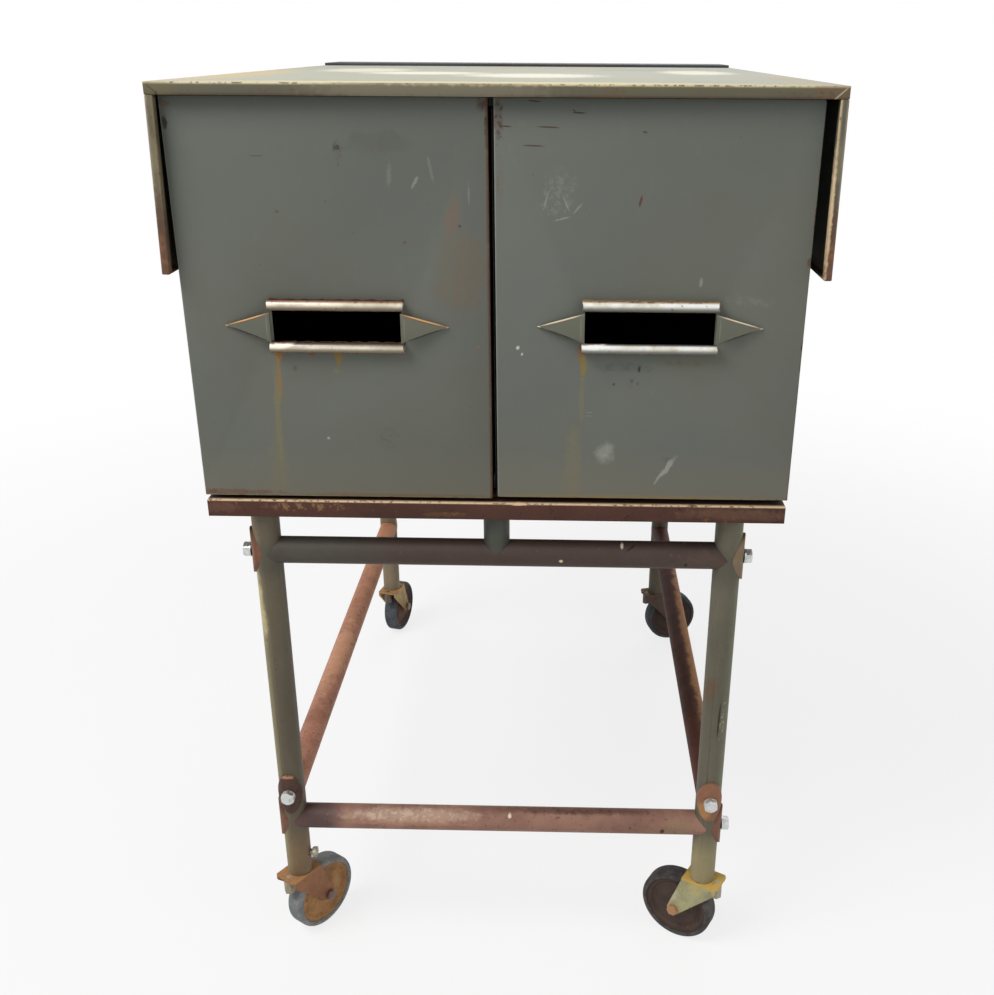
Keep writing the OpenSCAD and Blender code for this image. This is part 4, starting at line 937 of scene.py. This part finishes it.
class CABINET_OT_bolts(bpy.types.Operator):
    """Hex bolts of the frame and the screws that clamp the caster stems"""
    bl_idname = "cabinet.bolts"
    bl_label = "Bolts"

    def execute(self, context):
        paints, sizes = context.scene.cabinet.colours, context.scene.cabinet.sizes
        # Zinc plating: pale and bright, dulled in small spots
        zinc = plated("Zinc-plated steel", paints.zinc, "#8F8B7F", 0.3, 71.0, 0.4)
        # Worn plating: brown shows between what is still pale
        dull = plated("Dulled steel of the clamp screws", "#A39D8C", "#6A5C48", 0.45, 72.0, 0.7)
        pattern = new_piece("hex_head_pattern", hex_head(), 25.0)
        heads = bolt_tree()
        legs = {corner: middle(corner + "_leg") for corner in CORNERS}
        # From the middle of a leg out to its washers
        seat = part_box("frame_bolts")[1][0] - legs["front_right"].x - HEAD - WASHER
        points, turns = [], []
        levels = {"upper": middle("front_upper_tube").z, "lower": middle("front_lower_tube").z,
            "side": middle("left_stretcher").z}
        for corner, spot in legs.items():
            aside = -1 if corner.endswith("left") else 1
            ahead = -1 if corner.startswith("front") else 1
            for level, height in levels.items():
                out = Vector((0, ahead, 0)) if level == "side" else Vector((aside, 0, 0))
                if corner == "front_left" and level == "lower":
                    continue
                points.append(Vector((spot.x, spot.y, height)) + out * seat)
                turns.append(out.to_track_quat("Z", "Y").to_euler())
        piece = grown("frame_bolt_heads", heads, points, turns, smooth=24.0, Head=pattern,
            Across_flats=sizes.bolt_flats, Finish=zinc)
        bpy.data.objects.remove(pattern)
        settle(piece, zinc, "cabinet", ["frame_bolts"])
        dress("clamp_screws", dull, SCREW_EDGE)
        return {"FINISHED"}


class CABINET_OT_casters(bpy.types.Operator):
    """Forks, wheels and tyres of the four swivel casters"""
    bl_idname = "cabinet.casters"
    bl_label = "Casters"

    def execute(self, context):
        sizes = context.scene.cabinet.sizes
        # For each caster: fork paint, deep and rust; disc, deep and rust; rubber and its bloom; axle bolt
        looks = {
            "front_left": ("#96694A", "#84593D", 0.12, "#AF8454", "#926A45", 0.12, "#6E7274", "#9A9A96",
            "#5A342A"),
            "front_right": ("#B4AE84", "#9A9672", 0.05, "#4E3E36", "#40332D", 0.15, "#33302F", "#625B58",
            "#B07A4A"),
            "rear_left": ("#BFA474", "#93794F", 0.12, "#5B4030", "#40302A", 0.3, "#34383C", "#565C60",
            "#7A5A42"),
            "rear_right": ("#58453A", "#44352C", 0.15, "#4A382E", "#352A26", 0.3, "#2C3034", "#484E52",
            "#7A5A42")}
        for index, (corner, look) in enumerate(looks.items()):
            fork, fork_deep, fork_rust, disc, disc_deep, disc_rust, rubber, bloom, axle = look
            spot = axle_of(corner) / MM
            words = corner.replace("_", " ")
            low, high = walls(corner + "_fork")
            paint = {"front_right": "#C9A24A", "rear_right": "#6E5238"}.get(corner, "#A87C50")
            lines = [(paint, 0.85, 0.5, 0.3, (2, high.z, 6.0 if corner == "front_right" else 2.5))]
            brushed = [(spot.x - 14, spot.y, spot.z + 26, 16, 60, 14, "#CFCBAE", 0.6, 0.9, 0.2, 0.3),
                (spot.x + 16, spot.y, spot.z + 44, 14, 60, 12, "#BFA85A", 0.6, 0.8)]
            # Pressed steel whose plating has gone: ochre to brown, and brightest along its upper edge
            plate = worn("Rusted fork plate, " + words, fork, fork_deep, level=fork_rust, pits=0.6,
                edges=[(0.5, (2, high.z, 3.0)), (0.4, (2, low.z, 6.0))], lines=lines,
                marks=brushed if corner == "front_right" else (), seed=81.0 + index, drift=30.0, sheen=0.35)
            dress(corner + "_fork", plate, sizes.plate_radius)
            # Bolts that still gleam a little through their rust
            nuts = worn("Rusted axle and nose bolts, " + words, "#B5AC94" if index < 2 else "#5A4C38",
                "#8C8068" if index < 2 else "#463A2C", level=0.12, pits=0.5, seed=85.0 + index, sheen=0.6,
                shine=0.5, marks=[(*spot, 60, 60, 14, axle, 0.9, 0.2)])
            dress(corner + "_fork_bolts", nuts, NUT_EDGE)
            # Pressed discs rusted right over: matt, and darker in their pits
            pressed = worn("Rusted pressed wheel, " + words, disc, disc_deep, level=disc_rust, pits=0.7,
                seed=91.0 + index, drift=26.0, sheen=0.25)
            dress(corner + "_wheel", pressed, 0.0, 30.0)
            # Solid rubber gone grey with age: dull, with a chalky bloom and fine cracks
            tread = aged_rubber("Aged rubber, " + words, rubber, bloom, 95.0 + index)
            dress(corner + "_tyre", tread, 0.0, 50.0)
        return {"FINISHED"}


def seen_by(tree, first, *others):
    """1 for the kinds of ray that see the background as it is."""
    ray = add(tree, "LightPath").outputs
    seen = ray[first]
    for name in others:
        seen = add(tree, "Math", [seen, ray[name]], operation="MAXIMUM")
    return seen


class CABINET_OT_stage(bpy.types.Operator):
    """Floor, soft lights and the camera"""
    bl_idname = "cabinet.stage"
    bl_label = "Stage"

    def execute(self, context):
        stage = context.scene.cabinet.stage
        shape = bmesh.new()
        bmesh.ops.create_grid(shape, x_segments=1, y_segments=1, size=60.0)
        floor = new_piece("studio_floor", shape)
        material = bpy.data.materials.new("Pale floor")
        tree = blank_tree(material)
        matt = add(tree, "BsdfDiffuse", {"Color": (0.86, 0.86, 0.86, 1.0)})
        white = add(tree, "Emission", {"Color": (1.0, 1.0, 1.0, 1.0), "Strength": 1.0})
        # The camera sees a nearly white floor that keeps the cabinet's shadow and goes pure white further off
        away = add(tree, "VectorMath", [add(tree, "TexCoord").outputs["Object"]], operation="LENGTH")
        whiter = add(
            tree, "MapRange", [away.outputs["Value"], 0.7, 2.6, 0.78, 1.0], interpolation_type="SMOOTHSTEP")
        seen = seen_by(tree, "Is Camera Ray", "Is Glossy Ray")
        share = add(tree, "Math", [seen, whiter], operation="MULTIPLY")
        blend = add(tree, "MixShader", [share, matt, white])
        add(tree, "OutputMaterial", {"Surface": blend})
        floor.data.materials.append(material)

        world = bpy.data.worlds.new("Studio")
        context.scene.world = world
        tree = blank_tree(world)
        seen = seen_by(tree, "Is Camera Ray", "Is Glossy Ray", "Is Transmission Ray")
        soft = add(tree, "Background", {"Color": (1.0, 1.0, 1.0, 1.0), "Strength": stage.sky})
        clear = add(tree, "Background", {"Color": (1.0, 1.0, 1.0, 1.0), "Strength": 1.0})
        sky = add(tree, "MixShader", [seen, soft, clear])
        add(tree, "OutputWorld", {"Surface": sky})

        lamps = (
            ("key_light", (-1.6, -1.5, 3.0), 1.5, stage.key_power),
            ("fill_light", (2.6, -2.2, 1.5), 2.2, stage.fill_power),
            ("rear_light", (0.6, 2.6, 2.6), 2.0, stage.fill_power))
        for name, place, size, power in lamps:
            light = bpy.data.lights.new(name, "AREA")
            light.size = size
            light.energy = power
            lamp = placed(name, light)
            lamp.location = place
            lamp.rotation_euler = (Vector((0.0, 0.0, 0.6)) - Vector(place)).to_track_quat("-Z", "Y").to_euler()

        view = bpy.data.cameras.new("front_camera")
        view.sensor_fit = "HORIZONTAL"
        view.sensor_width = 36.0
        view.lens = stage.lens
        view.shift_x, view.shift_y = CAMERA_SHIFT
        view.clip_end = 100.0
        camera = placed("front_camera", view)
        pitch, yaw, roll = [math.radians(angle) for angle in CAMERA_TURN]
        ahead = Vector((math.sin(yaw) * math.cos(pitch), math.cos(yaw) * math.cos(pitch), -math.sin(pitch)))
        level = Vector((math.cos(yaw), -math.sin(yaw), 0.0))
        upward = level.cross(ahead)
        right = level * math.cos(roll) + upward * math.sin(roll)
        up = upward * math.cos(roll) - level * math.sin(roll)
        rows = Matrix((right, up, -ahead)).transposed().to_4x4()
        camera.matrix_world = Matrix.Translation(CAMERA_PLACE) @ rows
        context.scene.camera = camera
        context.scene.view_settings.view_transform = "Standard"
        return {"FINISHED"}


STEPS = (CABINET_OT_cover, CABINET_OT_carcass, CABINET_OT_drawers, CABINET_OT_handles, CABINET_OT_base,
    CABINET_OT_trolley, CABINET_OT_bolts, CABINET_OT_casters, CABINET_OT_stage)


class CABINET_PT_panel(bpy.types.Panel):
    """Lists the cabinet's steps and settings"""
    bl_idname = "CABINET_PT_panel"
    bl_label = "Drawer cabinet"
    bl_space_type = "VIEW_3D"
    bl_region_type = "UI"
    bl_category = "Cabinet"

    def draw(self, context):
        settings = context.scene.cabinet
        for step in STEPS:
            self.layout.operator(step.bl_idname)
        for group in (settings.colours, settings.sizes, settings.stage):
            box = self.layout.box()
            for name in group.bl_rna.properties.keys():
                if name not in ("rna_type", "name"):
                    box.prop(group, name)


CLASSES = (CabinetColours, CabinetSizes, CabinetStage, CabinetSettings) + STEPS + (CABINET_PT_panel,)


def register():
    for item in CLASSES:
        bpy.utils.register_class(item)
    bpy.types.Scene.cabinet = bpy.props.PointerProperty(type=CabinetSettings)


def unregister():
    del bpy.types.Scene.cabinet
    for item in reversed(CLASSES):
        bpy.utils.unregister_class(item)


def main():
    register()
    bpy.ops.cabinet.cover()
    bpy.ops.cabinet.carcass()
    bpy.ops.cabinet.drawers()
    bpy.ops.cabinet.handles()
    bpy.ops.cabinet.base()
    bpy.ops.cabinet.trolley()
    bpy.ops.cabinet.bolts()
    bpy.ops.cabinet.casters()
    bpy.ops.cabinet.stage()


if __name__ == "__main__":
    main()
